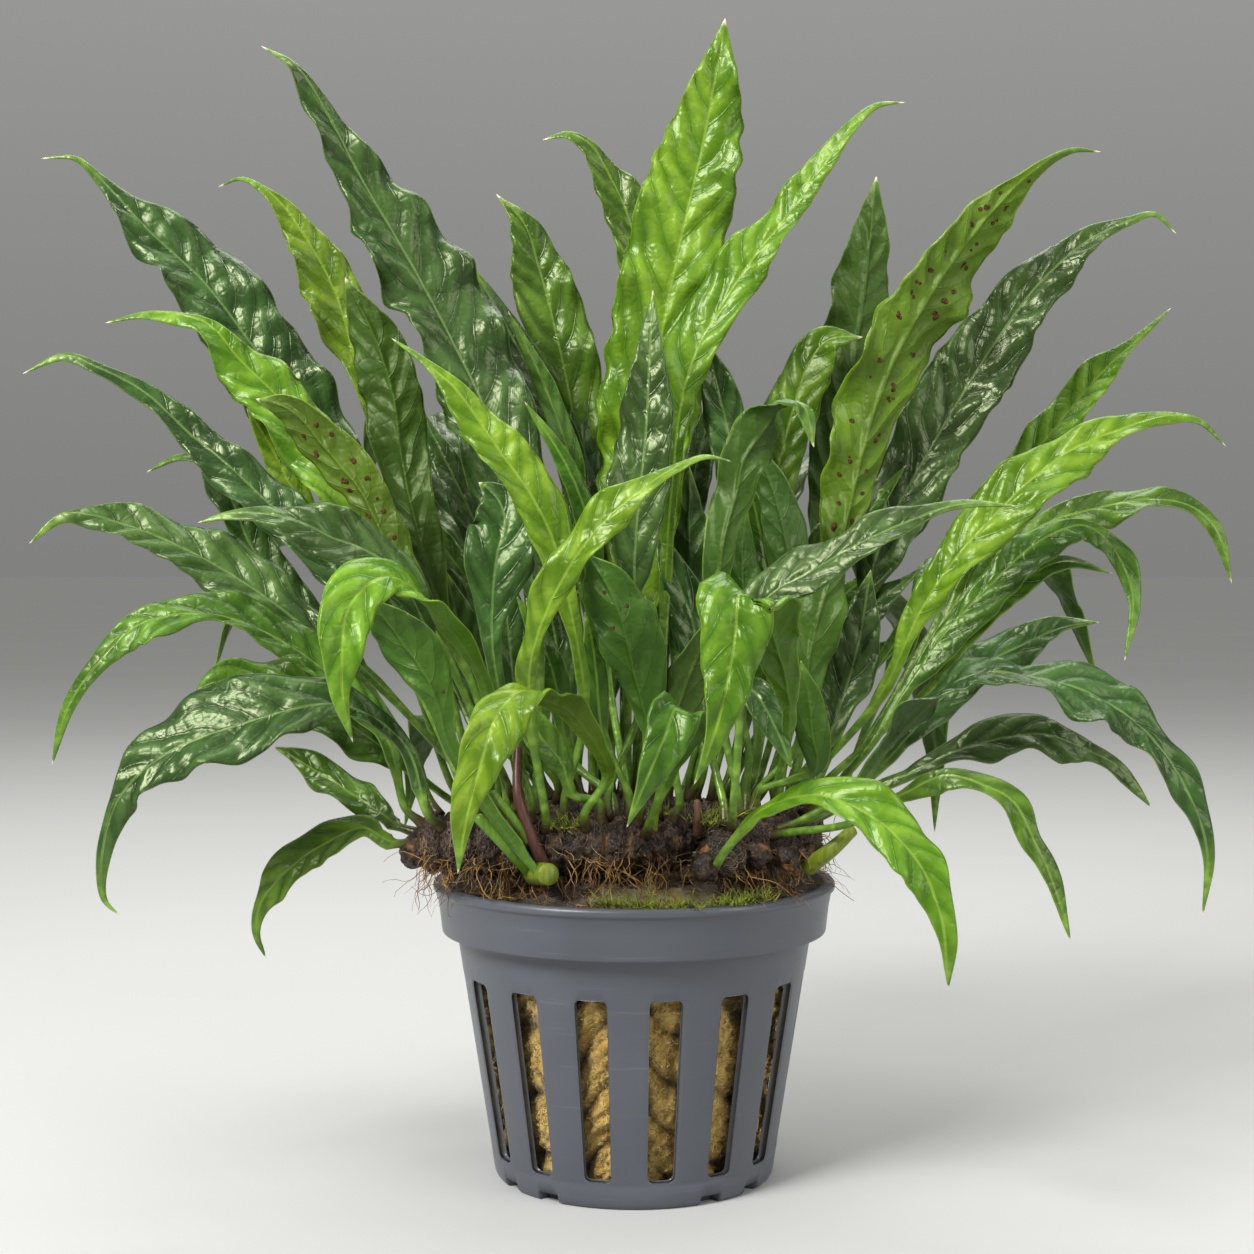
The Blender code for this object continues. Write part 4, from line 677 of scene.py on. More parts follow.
# One frond: stalk is the share of the length that has no blade, upper lists where the blade's
# upper side looks from foot to tip, left and right are the blade's half widths at its eighths on
# each side of the midrib, and route leads from near the foot to the tip
Frond = namedtuple("Frond", "name age seat stalk upper left right route")
FRONDS = (
    # Left side, from the tallest frond down to the lowest
    Frond("left_01", "old", Seat("back", 0.1, (-0.3, -0.2, 1)), 0.3, (FRONT_UP,),
          (3, 5, 6.3, 5.8, 5.2, 3.8, 1), (3, 5, 6.4, 6.4, 6.4, 4.7, 1),
          ((-31.5, 8, 78), (-45.5, 13, 102), (-56, 15, 117), (-63, 16, 126), (-71, 16, 133.5),
           (-78.5, 16, 141.5), (-81.5, 15, 144), (-86.5, 15, 144))),
    Frond("left_02", "young", Seat("back", 0.22, (-0.2, 0.2, 1)), 0.44, (FRONT_UP,),
          (0.8, 1, 1.6, 4.7, 4.5, 2.7, 0.9), (1, 2, 3, 3.8, 3.7, 2.3, 0.4),
          ((-28.5, 14, 76.5), (-35, 20, 96), (-41, 24, 112), (-45, 25, 125.5), (-49.5, 25, 134),
           (-54, 25, 140), (-59, 25, 143), (-62.5, 24, 141.5))),
    Frond("left_03", "old", Seat("front", 0.42, (0, 0.1, 1)), 0.22, (FRONT_UP,),
          (3.5, 5.5, 5.5, 4.6, 5.8, 3.4, 2.6), (3.5, 5.5, 6.8, 7.8, 6.8, 3.8, 1.2),
          ((-13, -9, 77), (-19, -4, 102), (-26.5, -1, 118), (-32.5, -1, 129), (-37.5, -1, 137.5),
           (-42.5, -2, 147), (-46.5, -3, 153), (-51, -4, 155.5))),
    Frond("left_04", "young", Seat("front", 0.3, (-0.1, 0.75, 0.65)), 0.32, (FRONT_UP,),
          (2.5, 4, 4.5, 4.8, 4.7, 2.5, 1.6), (3, 4.3, 4.6, 4, 3.8, 1.3, 0.3),
          ((-27, -3, 74.5), (-42, 1, 97), (-50, 3, 108), (-55.5, 3, 113.5), (-60, 3, 118.5),
           (-68, 3, 120), (-74, 2, 118.5))),
    Frond("left_05", "old", Seat("front", 0.16, (-0.3, 0.4, 0.9)), 0.32, (FRONT_UP,),
          (2.5, 3, 3.5, 3.2, 1.6, 1.4, 0.9), (2.5, 3.5, 3.8, 2.7, 2.6, 1.3, 0.7),
          ((-31.5, -6, 71.5), (-43.5, -3, 86.5), (-51, -2, 93.5), (-57, -1, 99), (-62, 0, 103),
           (-68, 0, 108.5), (-74.5, -1, 112), (-79, -1, 113.5), (-84.5, -2, 111))),
    Frond("left_06", "old", Seat("back", 0.03, (-0.6, -0.2, 0.8)), 0.32, (FRONT_UP,),
          (2, 2.5, 2.5, 2.5, 2.2, 2.6, 0.6), (2, 2.6, 3, 3.3, 3.6, 3.4, 1.2),
          ((-35.5, 5, 67), (-47.5, 8, 78), (-55, 10, 87), (-58, 10, 94), (-61.5, 10, 99.5),
           (-65.5, 10, 100), (-70, 9, 98))),
    Frond("left_07", "old", Seat("front", 0.05, (-0.5, 0.35, 0.8)), 0.26, (FRONT_UP,),
          (3, 4, 4.2, 3.7, 2.9, 2.4, 1.4), (2.5, 3.3, 4.6, 5.1, 4, 3.3, 0.3),
          ((-31.5, -9, 61.5), (-41.5, -7, 73), (-55.5, -6, 83.5), (-69.5, -6, 90), (-77.5, -7, 91.5),
           (-82, -8, 87.5))),
    Frond("left_08", "old", Seat("front", 0.19, (-0.2, 0, 1)), 0.36, (FRONT_UP,),
          (1.5, 2.5, 3.3, 3.8, 3.5, 1.9, 1), (1.8, 2.8, 3.3, 4.1, 3.8, 2, 0.7),
          ((-25, -15, 69.5), (-31, -20, 83.5), (-35, -21, 86.5), (-39, -22, 88), (-43, -23, 90),
           (-47.5, -23, 91), (-52, -23, 91), (-56, -23, 90))),
    Frond("left_09", "mature", Seat("front", 0, (-0.7, -0.25, 0.7)), 0.14,
          ((0, -0.45, 0.9), (0, -0.7, 0.7), FRONT_UP),
          (2, 2.5, 2.2, 0.8, 4, 1.4, 0.9), (3, 4, 5, 3.8, 2.5, 1.6, 0.9),
          ((-33, -13, 61), (-42, -14, 71), (-52, -16, 77), (-59, -17, 78), (-65, -18, 76.5),
           (-70, -19, 71.5), (-74, -19, 65.5), (-76, -19, 58.5))),
    Frond("left_10", "old", Seat("front", 0.06, (-0.45, -0.65, 0.6)), 0.1, (FRONT_UP,),
          (1, 1.2, 4.3, 5.6, 4.2, 2.6, 1), (1.5, 3, 5.7, 7.2, 5.2, 1.3, 0.7),
          ((-30, -17, 60.5), (-38, -23, 66.5), (-49, -26, 64.5), (-60, -27, 60), (-65.5, -27, 54.5),
           (-67.5, -27, 47), (-67.5, -26, 42), (-65.5, -26, 40))),
    Frond("left_11", "mature", Seat("back", 0, (-0.9, 0.1, 0.45)), 0.26, (FRONT_UP,),
          (2.5, 3.5, 4, 4, 4, 3.5, 2.2), (2, 3, 3.8, 4.3, 4.6, 4.2, 3),
          ((-37, 2, 60), (-45, 0, 65.5), (-53, -2, 68), (-57.5, -3, 67.5), (-61, -4, 64.5))),
    Frond("left_12", "mature", Seat("front", 0, (-0.95, -0.3, 0.05)), 0.11, (FRONT_UP,),
          (1, 2.5, 2.5, 1.9, 2.4, 1.3, 0.4), (2.2, 2.9, 2.9, 3, 2.2, 0.9, 0.5),
          ((-36, -14, 49.5), (-41, -14, 47.5), (-46, -14, 44), (-50, -13, 39), (-50.5, -13, 35.5),
           (-49.5, -12, 32))),
    Frond("left_13", "mature", Seat("front", 0, (-0.9, 0.25, 0.3)), 0.15, (FRONT_UP,),
          (0.8, 2, 2.6, 2.2, 2.3, 1.3, 0.4), (1.4, 2.2, 2.9, 2.6, 2.6, 2.5, 1.6),
          ((-34, -8, 50.5), (-42, -4, 55), (-50, -2, 59.5))),
    Frond("left_14", "young", Seat("front", 0.27, (-0.1, 0.05, 1)), 0.38, (BACK_UP,),
          (1.5, 2.4, 3, 3.3, 3.7, 3, 2), (1.5, 2, 2.4, 2.6, 3.3, 3.5, 2.8),
          ((-22, -12, 69.5), (-32, -12, 85.5), (-36.5, -11, 94.5), (-41.5, -10, 100.5),
           (-46, -10, 105.5), (-51, -9, 107))),
    # In front, many of them folded over toward the viewer
    Frond("front_01", "young", Seat("front", 0.22, (0, -0.35, 1)), 0.26, (BACK, BACK, UP, FRONT, FRONT),
          (1, 1.8, 2.2, 2.4, 3, 3, 0.9), (1, 1.5, 2, 3, 3.8, 2.7, 1.5),
          ((-19, -21, 68), (-21, -26, 73.5), (-23, -31, 77), (-26, -36, 80.5), (-29.5, -39, 83),
           (-32, -42, 82), (-34, -44, 79), (-34.5, -45, 73.5), (-34.5, -44, 68.5), (-33.5, -43, 63.5))),
    Frond("front_02", "mature", Seat("front", 0.46, (0, -0.85, -0.4)), 0.2, (BACK_UP,),
          (0.8, 1, 1.2, 1.5, 2.6, 3.8, 3.4), (0.8, 1, 1, 1.2, 2.2, 3.6, 3.2),
          ((-23.5, -23, 61), (-25, -24, 66.5), (-26.5, -25, 70.5), (-30, -25, 75.5), (-32, -26, 78.5),
           (-33, -27, 80.5))),
    Frond("front_03", "young", Seat("front", 0.64, (0, -0.7, 0.7)), 0.18,
          (BACK, BACK, (0, 0.1, 1), FRONT, FRONT),
          (1.2, 2, 3, 3.9, 3.9, 2.2, 0.8), (1.2, 2, 2.5, 2.8, 2.8, 2.6, 1.8),
          ((-3.5, -20, 57), (-5, -26, 62), (-8, -31, 66.5), (-11, -36, 68.5), (-14, -40, 69),
           (-16.5, -43, 66.5), (-18, -45, 62), (-19.5, -45, 56.5), (-21, -44, 48))),
    Frond("front_04", "young", Seat("front", 0.55, (0, -0.35, 0.94)), 0.28, (FRONT_UP,),
          (1, 2, 2.7, 2.3, 2.8, 2.4, 0.5), (1, 1.3, 3.2, 3.6, 3.1, 1.8, 0.8),
          ((-6.5, -19, 65), (-8.5, -23, 80), (-10, -23, 86.5), (-13, -23, 93), (-18, -22, 100),
           (-23, -21, 107), (-27.5, -20, 111), (-31.5, -19, 114))),
    Frond("front_05", "old", Seat("front", 0.4, (0, -0.45, 0.9)), 0.3, (FRONT_UP,),
          (0.8, 1, 1.7, 2.8, 4, 4.7, 3.4), (0.8, 1, 1.4, 3.1, 5, 4.5, 2.8),
          ((-17, -17, 64.5), (-18.5, -18, 73.5), (-18.5, -18, 80), (-18, -18, 85.5), (-17, -17, 90.5),
           (-18.5, -16, 94), (-20.5, -16, 95.5))),
    Frond("front_06", "young", Seat("front", 0.47, (0, -0.75, 0.65)), 0.26, (FRONT_UP,),
          (1.8, 2.1, 2.8, 2.9, 3.2, 1.8, 0.6), (0.5, 0.6, 1.3, 1.9, 2.2, 1.1, 0.9),
          ((-13.5, -24, 67.5), (-12, -29, 76), (-8.5, -31, 83.5), (-4.5, -32, 89), (0.5, -32, 93.5),
           (5, -31, 96.5), (8.5, -31, 98), (12, -30, 97.5))),
    Frond("front_07", "mature", Seat("front", 0.9, (0.1, -0.85, 0.5)), 0.24, (BACK, BACK, UP, FRONT, FRONT),
          (1, 1.6, 2.2, 3, 3.3, 2.4, 1.3), (1, 1.6, 2.2, 2.6, 2.6, 1.7, 0.6),
          ((4.5, -24, 58), (7, -31, 63), (6, -35, 66), (4, -37, 65.5), (2.5, -40, 62), (0.5, -40, 57),
           (-1, -40, 53))),
    Frond("front_08", "mature", Seat("front", 0.86, (0.1, -0.5, 0.87)), 0.28, (BACK_UP,),
          (1.5, 3, 4.3, 4.8, 4.6, 3.4, 2.4), (1.2, 1.8, 2.6, 3.4, 4, 4.3, 3.4),
          ((2, -17, 61.5), (0, -19, 70.5), (-2, -20, 78.5), (-3.5, -20, 82), (-6, -19, 86))),
    Frond("front_09", "old", Seat("front", 0.74, (0, -0.1, 1)), 0.4, (FRONT_UP,),
          (2, 3.4, 4.4, 4, 3.6, 2.4, 1.4), (2.2, 3.1, 4, 3.6, 3.6, 2.4, 1.2),
          ((1, -12, 66.5), (0, -13, 82.5), (0.5, -13, 92), (1.5, -12, 101.5), (2, -11, 110.5),
           (2.5, -10, 121.5))),
    Frond("front_10", "mature", Seat("right", 0.3, (-0.1, -0.4, 0.9)), 0.36,
          (BACK_UP, BACK_UP, BACK_UP, (0.3, 0.6, 0.7), FRONT_UP),
          (1, 1.6, 1.9, 2.5, 3.2, 3.2, 1.6), (1.6, 2.4, 2.8, 2.9, 3.3, 3.4, 2),
          ((11, -15, 68), (11, -15, 81), (12, -15, 89), (13.5, -14, 94), (14.5, -14, 98.5),
           (17, -14, 102.5), (19.5, -14, 106), (22, -15, 105.5), (23.5, -17, 100))),
    Frond("front_11", "young", Seat("right", 0.54, (0.1, -0.5, 0.85)), 0.26,
          (BACK, BACK, BACK, UP, FRONT, FRONT),
          (1.5, 2.4, 3.6, 5, 4.2, 3, 1.6), (1.5, 2.4, 3.6, 5, 4.4, 3, 1),
          ((20, -21, 64.5), (18, -32, 73), (15, -39, 79), (12, -42, 80.5), (11.5, -44, 74.5),
           (9.5, -45, 65.5), (7, -43, 58.5))),
    Frond("front_12", "old", Seat("right", 0.16, (0, -0.6, 0.8)), 0.34, (FRONT_UP,),
          (1.5, 3.4, 4.4, 2.6, 3.3, 1.5, 0.8), (1, 1.5, 3.4, 2.3, 2, 0.6, 0.4),
          ((13.5, -21, 63.5), (13, -25, 73), (16.5, -27, 80), (22, -28, 83.5), (28, -29, 87),
           (34.5, -29, 90), (40.5, -29, 92), (48, -28, 92))),
    Frond("front_13", "young", Seat("right", 0, (-0.1, -0.95, 0)), 0.22, (FRONT_UP,),
          (1, 2.6, 3.7, 4, 3.4, 2, 1.4), (1.6, 0.8, 2.2, 2.6, 3.5, 1.8, 0.6),
          ((11, -26, 47.5), (13, -28, 50.5), (15.5, -31, 53.5), (19.5, -36, 56), (23, -39, 56.5),
           (26, -41, 55.5), (29.5, -43, 53.5), (33.5, -45, 49), (36, -46, 42.5), (37, -45, 34.5))),
    # The upright middle
    Frond("centre_01", "mature", Seat("back", 0.36, (-0.1, 0.2, 1)), 0.28, (FRONT_UP,),
          (2, 3, 3.2, 3.2, 4, 4.9, 3.1), (2, 3, 3.8, 4.9, 5.3, 4.5, 2.8),
          ((-6, 13, 74), (-7.5, 18, 94.5), (-9, 19, 107), (-11.5, 20, 119), (-14, 21, 128.5),
           (-16.5, 21, 135.5), (-20.5, 21, 140))),
    Frond("centre_02", "mature", Seat("back", 0.58, (0, 0.3, 1)), 0.36, (FRONT_UP,),
          (2, 2.8, 3, 3, 3.2, 3.4, 2.2), (2, 2.5, 3, 3, 3.2, 3.5, 1),
          ((1, 16, 76.5), (2.5, 26, 110), (0.5, 30, 133), (-1, 30, 138.5), (-3.5, 31, 144),
           (-6.5, 31, 149), (-10, 31, 151), (-14, 31, 150))),
    Frond("centre_03", "young", Seat("back", 0.66, (0, -0.3, 1)), 0.18, (FRONT_UP,),
          (4, 6, 7.2, 7.4, 7.4, 6.7, 4), (4, 5.5, 6.3, 6.3, 6.2, 6.2, 4.4),
          ((1, 5, 74), (2, 8, 104), (6, 9, 128), (10, 9, 145.5), (13, 8, 162.5))),
    Frond("centre_04", "young", Seat("front", 0.95, (0.1, 0.3, 1)), 0.3, (FRONT_UP,),
          (2, 3.5, 4.8, 4.4, 4, 3, 1.4), (0.8, 1.2, 2.4, 3, 2.6, 1.4, 1),
          ((4, -6, 74.5), (5, -4, 93.5), (7.5, -3, 111), (14.5, -2, 124), (23, -1, 135),
           (30.5, -1, 145.5), (33.5, -1, 148), (37.5, -1, 148.5))),
    Frond("centre_05", "mature", Seat("back", 0.26, (0, -0.5, 0.87)), 0.34, (BACK_UP,),
          (1.5, 2.8, 3.5, 3.8, 4, 4, 2.5), (1.5, 2.5, 3.2, 3.8, 4.5, 4.5, 3.4),
          ((-23, 3, 68.5), (-31, 5, 91.5), (-33, 6, 100.5), (-34, 6, 108), (-36.5, 6, 116.5),
           (-41, 6, 125.5))),
    Frond("centre_06", "old", Seat("back", 0.48, (0, 0, 1)), 0.3, (FRONT_UP,),
          (2, 2.5, 2.8, 2.4, 2.2, 2, 1), (2, 2.3, 2.5, 2.4, 2.4, 2.4, 1.5),
          ((-3.5, 9, 74), (-6.5, 12, 93.5), (-10.5, 13, 103), (-16.5, 15, 115.5), (-24, 15, 129))),
    Frond("centre_07", "old", Seat("back", 0.8, (0, 0, 1)), 0.3, (FRONT_UP,),
          (2, 2.5, 3, 3.2, 3.2, 3, 2.3), (2, 2.5, 3, 3.1, 3, 3, 2.4),
          ((13.5, 9, 74), (15.5, 11, 94), (13, 11, 106.5), (10.5, 11, 117))),
    # Right side, from the tallest frond down to the lowest
    Frond("right_01", "mature", Seat("back", 0.95, (0.2, 0.3, 1)), 0.34, (BACK_UP,),
          (2.5, 3.5, 4, 4, 4, 3.8, 2.5), (2, 3.5, 4.5, 5.2, 5.3, 4.7, 2.8),
          ((24.5, 14, 73.5), (31, 23, 103.5), (35, 27, 126), (37, 28, 144))),
    Frond("right_02", "young", Seat("right", 0.66, (0.3, 0.1, 1)), 0.24, (BACK_UP,),
          (1.5, 2.8, 3.8, 5.2, 6.1, 4.4, 1.5), (2.8, 4.6, 5.2, 5.2, 4.2, 3.1, 0.7),
          ((25, 0, 66), (29.5, 3, 89), (35, 5, 109.5), (41, 5, 121.5), (47.5, 6, 131),
           (56.5, 5, 140.5), (61.5, 4, 143), (65.5, 3, 142.5))),
    Frond("right_03", "old", Seat("right", 0.84, (0.4, 0, 1)), 0.26, (FRONT_UP,),
          (3.5, 5.1, 6.2, 6.4, 4.8, 3.7, 1.2), (3.5, 5.2, 4.6, 5.5, 4.5, 3.4, 0.9),
          ((30, 7, 68), (36, 10, 88.5), (44, 13, 103), (52, 14, 116), (59, 14, 125.5), (66.5, 14, 132),
           (72, 13, 134.5), (75.5, 13, 135.5), (78.5, 12, 132.5))),
    Frond("right_04", "young", Seat("right", 0.97, (0.5, 0.3, 1)), 0.34, (FRONT_UP,),
          (2, 3, 3.3, 3.2, 3.3, 3.1, 1.4), (2, 3, 3.5, 3.5, 3.1, 2.5, 0.4),
          ((34, 13, 68), (51, 20, 90), (62, 23, 103.5), (71, 24, 114), (76.5, 24, 119), (81, 24, 123.5))),
    Frond("right_05", "young", Seat("right", 0.62, (0.45, -0.2, 0.9)), 0.26, (FRONT_UP,),
          (2, 2.4, 3.8, 4.2, 2.7, 2.3, 0.4), (1, 2.6, 3.6, 4.4, 4, 1.5, 1.1),
          ((33, -9, 66.5), (38.5, -11, 78.5), (43, -12, 85.5), (47.5, -12, 90.5), (53, -12, 96),
           (58.5, -12, 100), (64.5, -12, 102.5), (71.5, -11, 104.5), (75.5, -11, 104),
           (79.5, -10, 100.5))),
    Frond("right_06", "mature", Seat("right", 0.9, (0.8, 0.1, 0.7)), 0.3, (FRONT_UP,),
          (1.5, 2, 2, 2.2, 3, 2.2, 1.1), (1.5, 2.5, 3, 3.3, 3, 1.1, 1.2),
          ((35, 6, 62.5), (45.5, 9, 78), (53, 10, 85.5), (59.5, 11, 90.5), (66, 11, 92.5),
           (74.5, 11, 94), (80.5, 11, 93), (84, 10, 89.5), (86, 9, 82))),
    Frond("right_07", "mature", Seat("right", 0.7, (0.8, -0.2, 0.7)), 0.26, (FRONT_UP,),
          (0.8, 1.2, 2, 2.6, 1, 2.1, 1), (2.6, 3.4, 3.6, 3, 2.6, 1.5, 0.5),
          ((32, -4, 59), (37, -3, 66.5), (43, -2, 75), (50, -2, 82.5), (56.5, -1, 88), (62.5, -1, 90),
           (66.5, -2, 86.5), (68.5, -4, 80), (67, -6, 71.5))),
    Frond("right_08", "old", Seat("right", 0.76, (0.9, -0.1, 0.4)), 0.28, (FRONT_UP,),
          (1.5, 2.5, 3.2, 3.6, 4, 2.8, 2), (1.5, 2.5, 3.3, 3.7, 3.6, 2.2, 0.4),
          ((36, 2, 57.5), (43.5, 5, 65.5), (49.5, 7, 70), (55.5, 8, 73), (61.5, 9, 75.5), (67, 9, 76.5))),
    Frond("right_09", "old", Seat("right", 0.43, (0.8, -0.5, 0.4)), 0.2,
          (BACK_UP, (0, 0.3, 0.95), UP_FRONT, FRONT_UP, FRONT_UP),
          (4, 4.5, 3, 5.1, 2.9, 2.3, 1), (3, 3.5, 2.8, 5.4, 2.7, 1.9, 0.6),
          ((28.5, -14, 54.5), (34, -19, 62.5), (40, -22, 68.5), (45, -23, 70.5), (51, -24, 70),
           (58, -25, 68), (65, -26, 63), (70, -27, 55.5), (72.5, -27, 48), (72, -27, 40))),
    Frond("right_10", "old", Seat("right", 0.56, (0.85, -0.4, 0.4)), 0.26, (FRONT_UP,),
          (1.3, 2, 3.3, 3.4, 1.9, 1.3, 0.7), (0.8, 1.4, 3, 2.4, 3.4, 1.4, 1.4),
          ((29, -9, 53), (37, -11, 56.5), (43, -12, 59.5), (49.5, -13, 61.5), (54.5, -14, 62),
           (60, -14, 60), (64.5, -15, 57.5), (68.5, -15, 52.5))),
    Frond("right_11", "mature", Seat("right", 0.38, (0.7, -0.7, 0.25)), 0.34, (FRONT_UP,),
          (1, 1, 1.8, 1.8, 1.1, 1.7, 1), (1.3, 2.3, 0.9, 1.6, 1.8, 1, 0.5),
          ((28, -20, 51), (34.5, -26, 55.5), (39, -29, 58), (43.5, -31, 57), (47, -32, 55),
           (49.5, -33, 50), (51.5, -33, 45.5), (54, -33, 38))),
    Frond("right_12", "young", Seat("back", 0.88, (0.1, -0.1, 1)), 0.4, (FRONT_UP,),
          (1.5, 2.5, 3.2, 3.5, 3.8, 3.2, 2.6), (1.5, 2.5, 3, 3.3, 3.7, 4, 3.6),
          ((17, 12, 74), (21, 17, 97.5), (24, 19, 109), (26, 20, 114.5), (29, 20, 118), (34, 19, 118.5))),
    Frond("right_13", "old", Seat("right", 0.56, (0.2, -0.1, 1)), 0.3, (BACK_UP,),
          (2, 2.5, 2.8, 3, 3, 2.6, 1.8), (1.5, 2.3, 2.8, 3, 3, 2.4, 1.4),
          ((21.5, -6, 66), (22, -3, 80), (20, -2, 92.5), (16.5, -2, 102))),
    # Behind, arching away
    Frond("back_01", "mature", Seat("back", 0.06, (-0.4, 0.7, 0.6)), 0.22, (UP,),
          (2, 3.8, 4.8, 5, 4.4, 3, 1.4), (2.2, 4, 5, 4.8, 4, 2.6, 1.2),
          ((-33, 20, 72), (-47, 33, 92), (-60, 46, 88), (-70, 54, 66))),
    Frond("back_02", "old", Seat("back", 0.2, (-0.1, 0.8, 0.6)), 0.26, (UP,),
          (2, 3.8, 5.2, 5.5, 4.8, 3.4, 1.6), (2.4, 4.2, 5, 5.2, 5, 3, 1.2),
          ((-22, 24, 78), (-32, 40, 104), (-40, 54, 110), (-47, 68, 96))),
    Frond("back_03", "mature", Seat("back", 0.42, (0, 0.85, 0.5)), 0.24, (UP,),
          (2.4, 4.2, 5.4, 5.2, 4.4, 3.2, 1.4), (2, 3.8, 5, 5.5, 5, 3.4, 1.6),
          ((-8, 22, 72), (-12, 38, 94), (-14, 54, 94), (-15, 66, 74), (-15, 70, 54))),
    Frond("back_04", "young", Seat("back", 0.62, (0, 0.7, 0.7)), 0.26, ((0, 0.8, 0.6),),
          (2.2, 4, 5.4, 5.8, 5, 3.6, 1.8), (2.4, 4.4, 5.2, 5.4, 5.2, 3.2, 1.4),
          ((4, 21, 84), (6, 32, 116), (10, 42, 142), (14, 54, 154))),
    Frond("back_05", "old", Seat("back", 0.76, (0.1, 0.8, 0.6)), 0.24, (UP,),
          (2, 4, 5.2, 5.4, 4.6, 3, 1.4), (2.4, 4.2, 5.4, 5, 4.8, 3.4, 1.6),
          ((16, 23, 74), (24, 38, 98), (32, 52, 102), (39, 64, 86), (43, 70, 66))),
    Frond("back_06", "mature", Seat("right", 1, (-0.2, 0.9, 0.4)), 0.22, (UP,),
          (1.8, 3.2, 4.2, 4.2, 3.4, 2.4, 1.1), (1.6, 3, 4, 4.4, 3.8, 2.6, 1.2),
          ((28, 20, 66), (36, 34, 80), (45, 46, 73), (50, 54, 56), (50.5, 56, 40))),
    Frond("back_07", "mature", Seat("right", 1, (0.8, 0.4, 0.45)), 0.24, (UP,),
          (2, 3.6, 4.6, 4.8, 4, 2.6, 1.2), (1.8, 3.4, 4.4, 4.6, 4.2, 3, 1.4),
          ((38, 20, 68), (52, 32, 86), (66, 42, 84), (76, 48, 66))),
    Frond("back_08", "mature", Seat("back", 0.32, (-0.2, 0.9, 0.15)), 0.22, (UP,),
          (1.6, 3, 4, 4, 3.4, 2.2, 1), (1.8, 3.2, 3.8, 4.1, 3.2, 2.4, 1.1),
          ((-20, 26, 57), (-27, 38, 63), (-34, 48, 57), (-38, 54, 41))),
)


def seat_point(seat):
    """Foot of a frond: out from the rhizome's axis in its direction until it clears the bark."""
    rhizome = RHIZOMES[seat.rhizome]
    share = np.linspace(0, 1, 80)
    axis = smooth_path(rhizome.route, share)
    radii = np.interp(share, np.linspace(0, 1, len(rhizome.radii)), rhizome.radii)
    place = seat.along * (len(axis) - 1)
    first = min(int(place), len(axis) - 2)
    start = axis[first] + (axis[first + 1] - axis[first]) * (place - first)
    way = np.array(seat.direction, float) / np.linalg.norm(seat.direction)
    reach = np.linspace(0, 12, 1201)
    clearance = (np.linalg.norm(axis[None] - start - way * reach[:, None, None], axis=-1) - radii).min(axis=1)
    return start + way * reach[np.argmax(clearance > SEAT_GAP)], way


def half_width(widths, along, frond):
    """Half width of one side of a blade: a smooth curve through its widths at the eighths, which
    starts from nothing at the end of the stalk and comes back to nothing at the tip."""
    marks = np.array([0, *widths, 0], float)
    slopes = np.r_[0, (marks[2:] - marks[:-2]) / 2, marks[-1] - marks[-2]]
    place = np.clip((along - frond.stalk) / (1 - frond.stalk), 0, 1) * (len(marks) - 1)
    first = np.minimum(place.astype(int), len(marks) - 2)
    t = place - first
    curve = ((2 * t**3 - 3 * t**2 + 1) * marks[first] + (t**3 - 2 * t**2 + t) * slopes[first]
             + (3 * t**2 - 2 * t**3) * marks[first + 1] + (t**3 - t**2) * slopes[first + 1])
    return np.maximum(curve, 0)


def ripple_along(walked, wavelength, seed):
    """A wandering line about -1 to 1: the sum of four sine waves near the wavelength."""
    draw = np.random.default_rng(seed)
    pitch = 2 * pi / (wavelength * draw.uniform(0.7, 1.5, 4))
    shift = draw.uniform(0, 2 * pi, 4)
    return 0.7 * sum(np.sin(walked * rate + start) for rate, start in zip(pitch, shift))


def frond_route(frond):
    """Points that the midrib passes: inside the bark, the foot, out of the bark, the own route."""
    foot, way = seat_point(frond.seat)
    return [foot - SEAT_DEPTH * way, foot, foot + SEAT_LEAD * way, *frond.route]


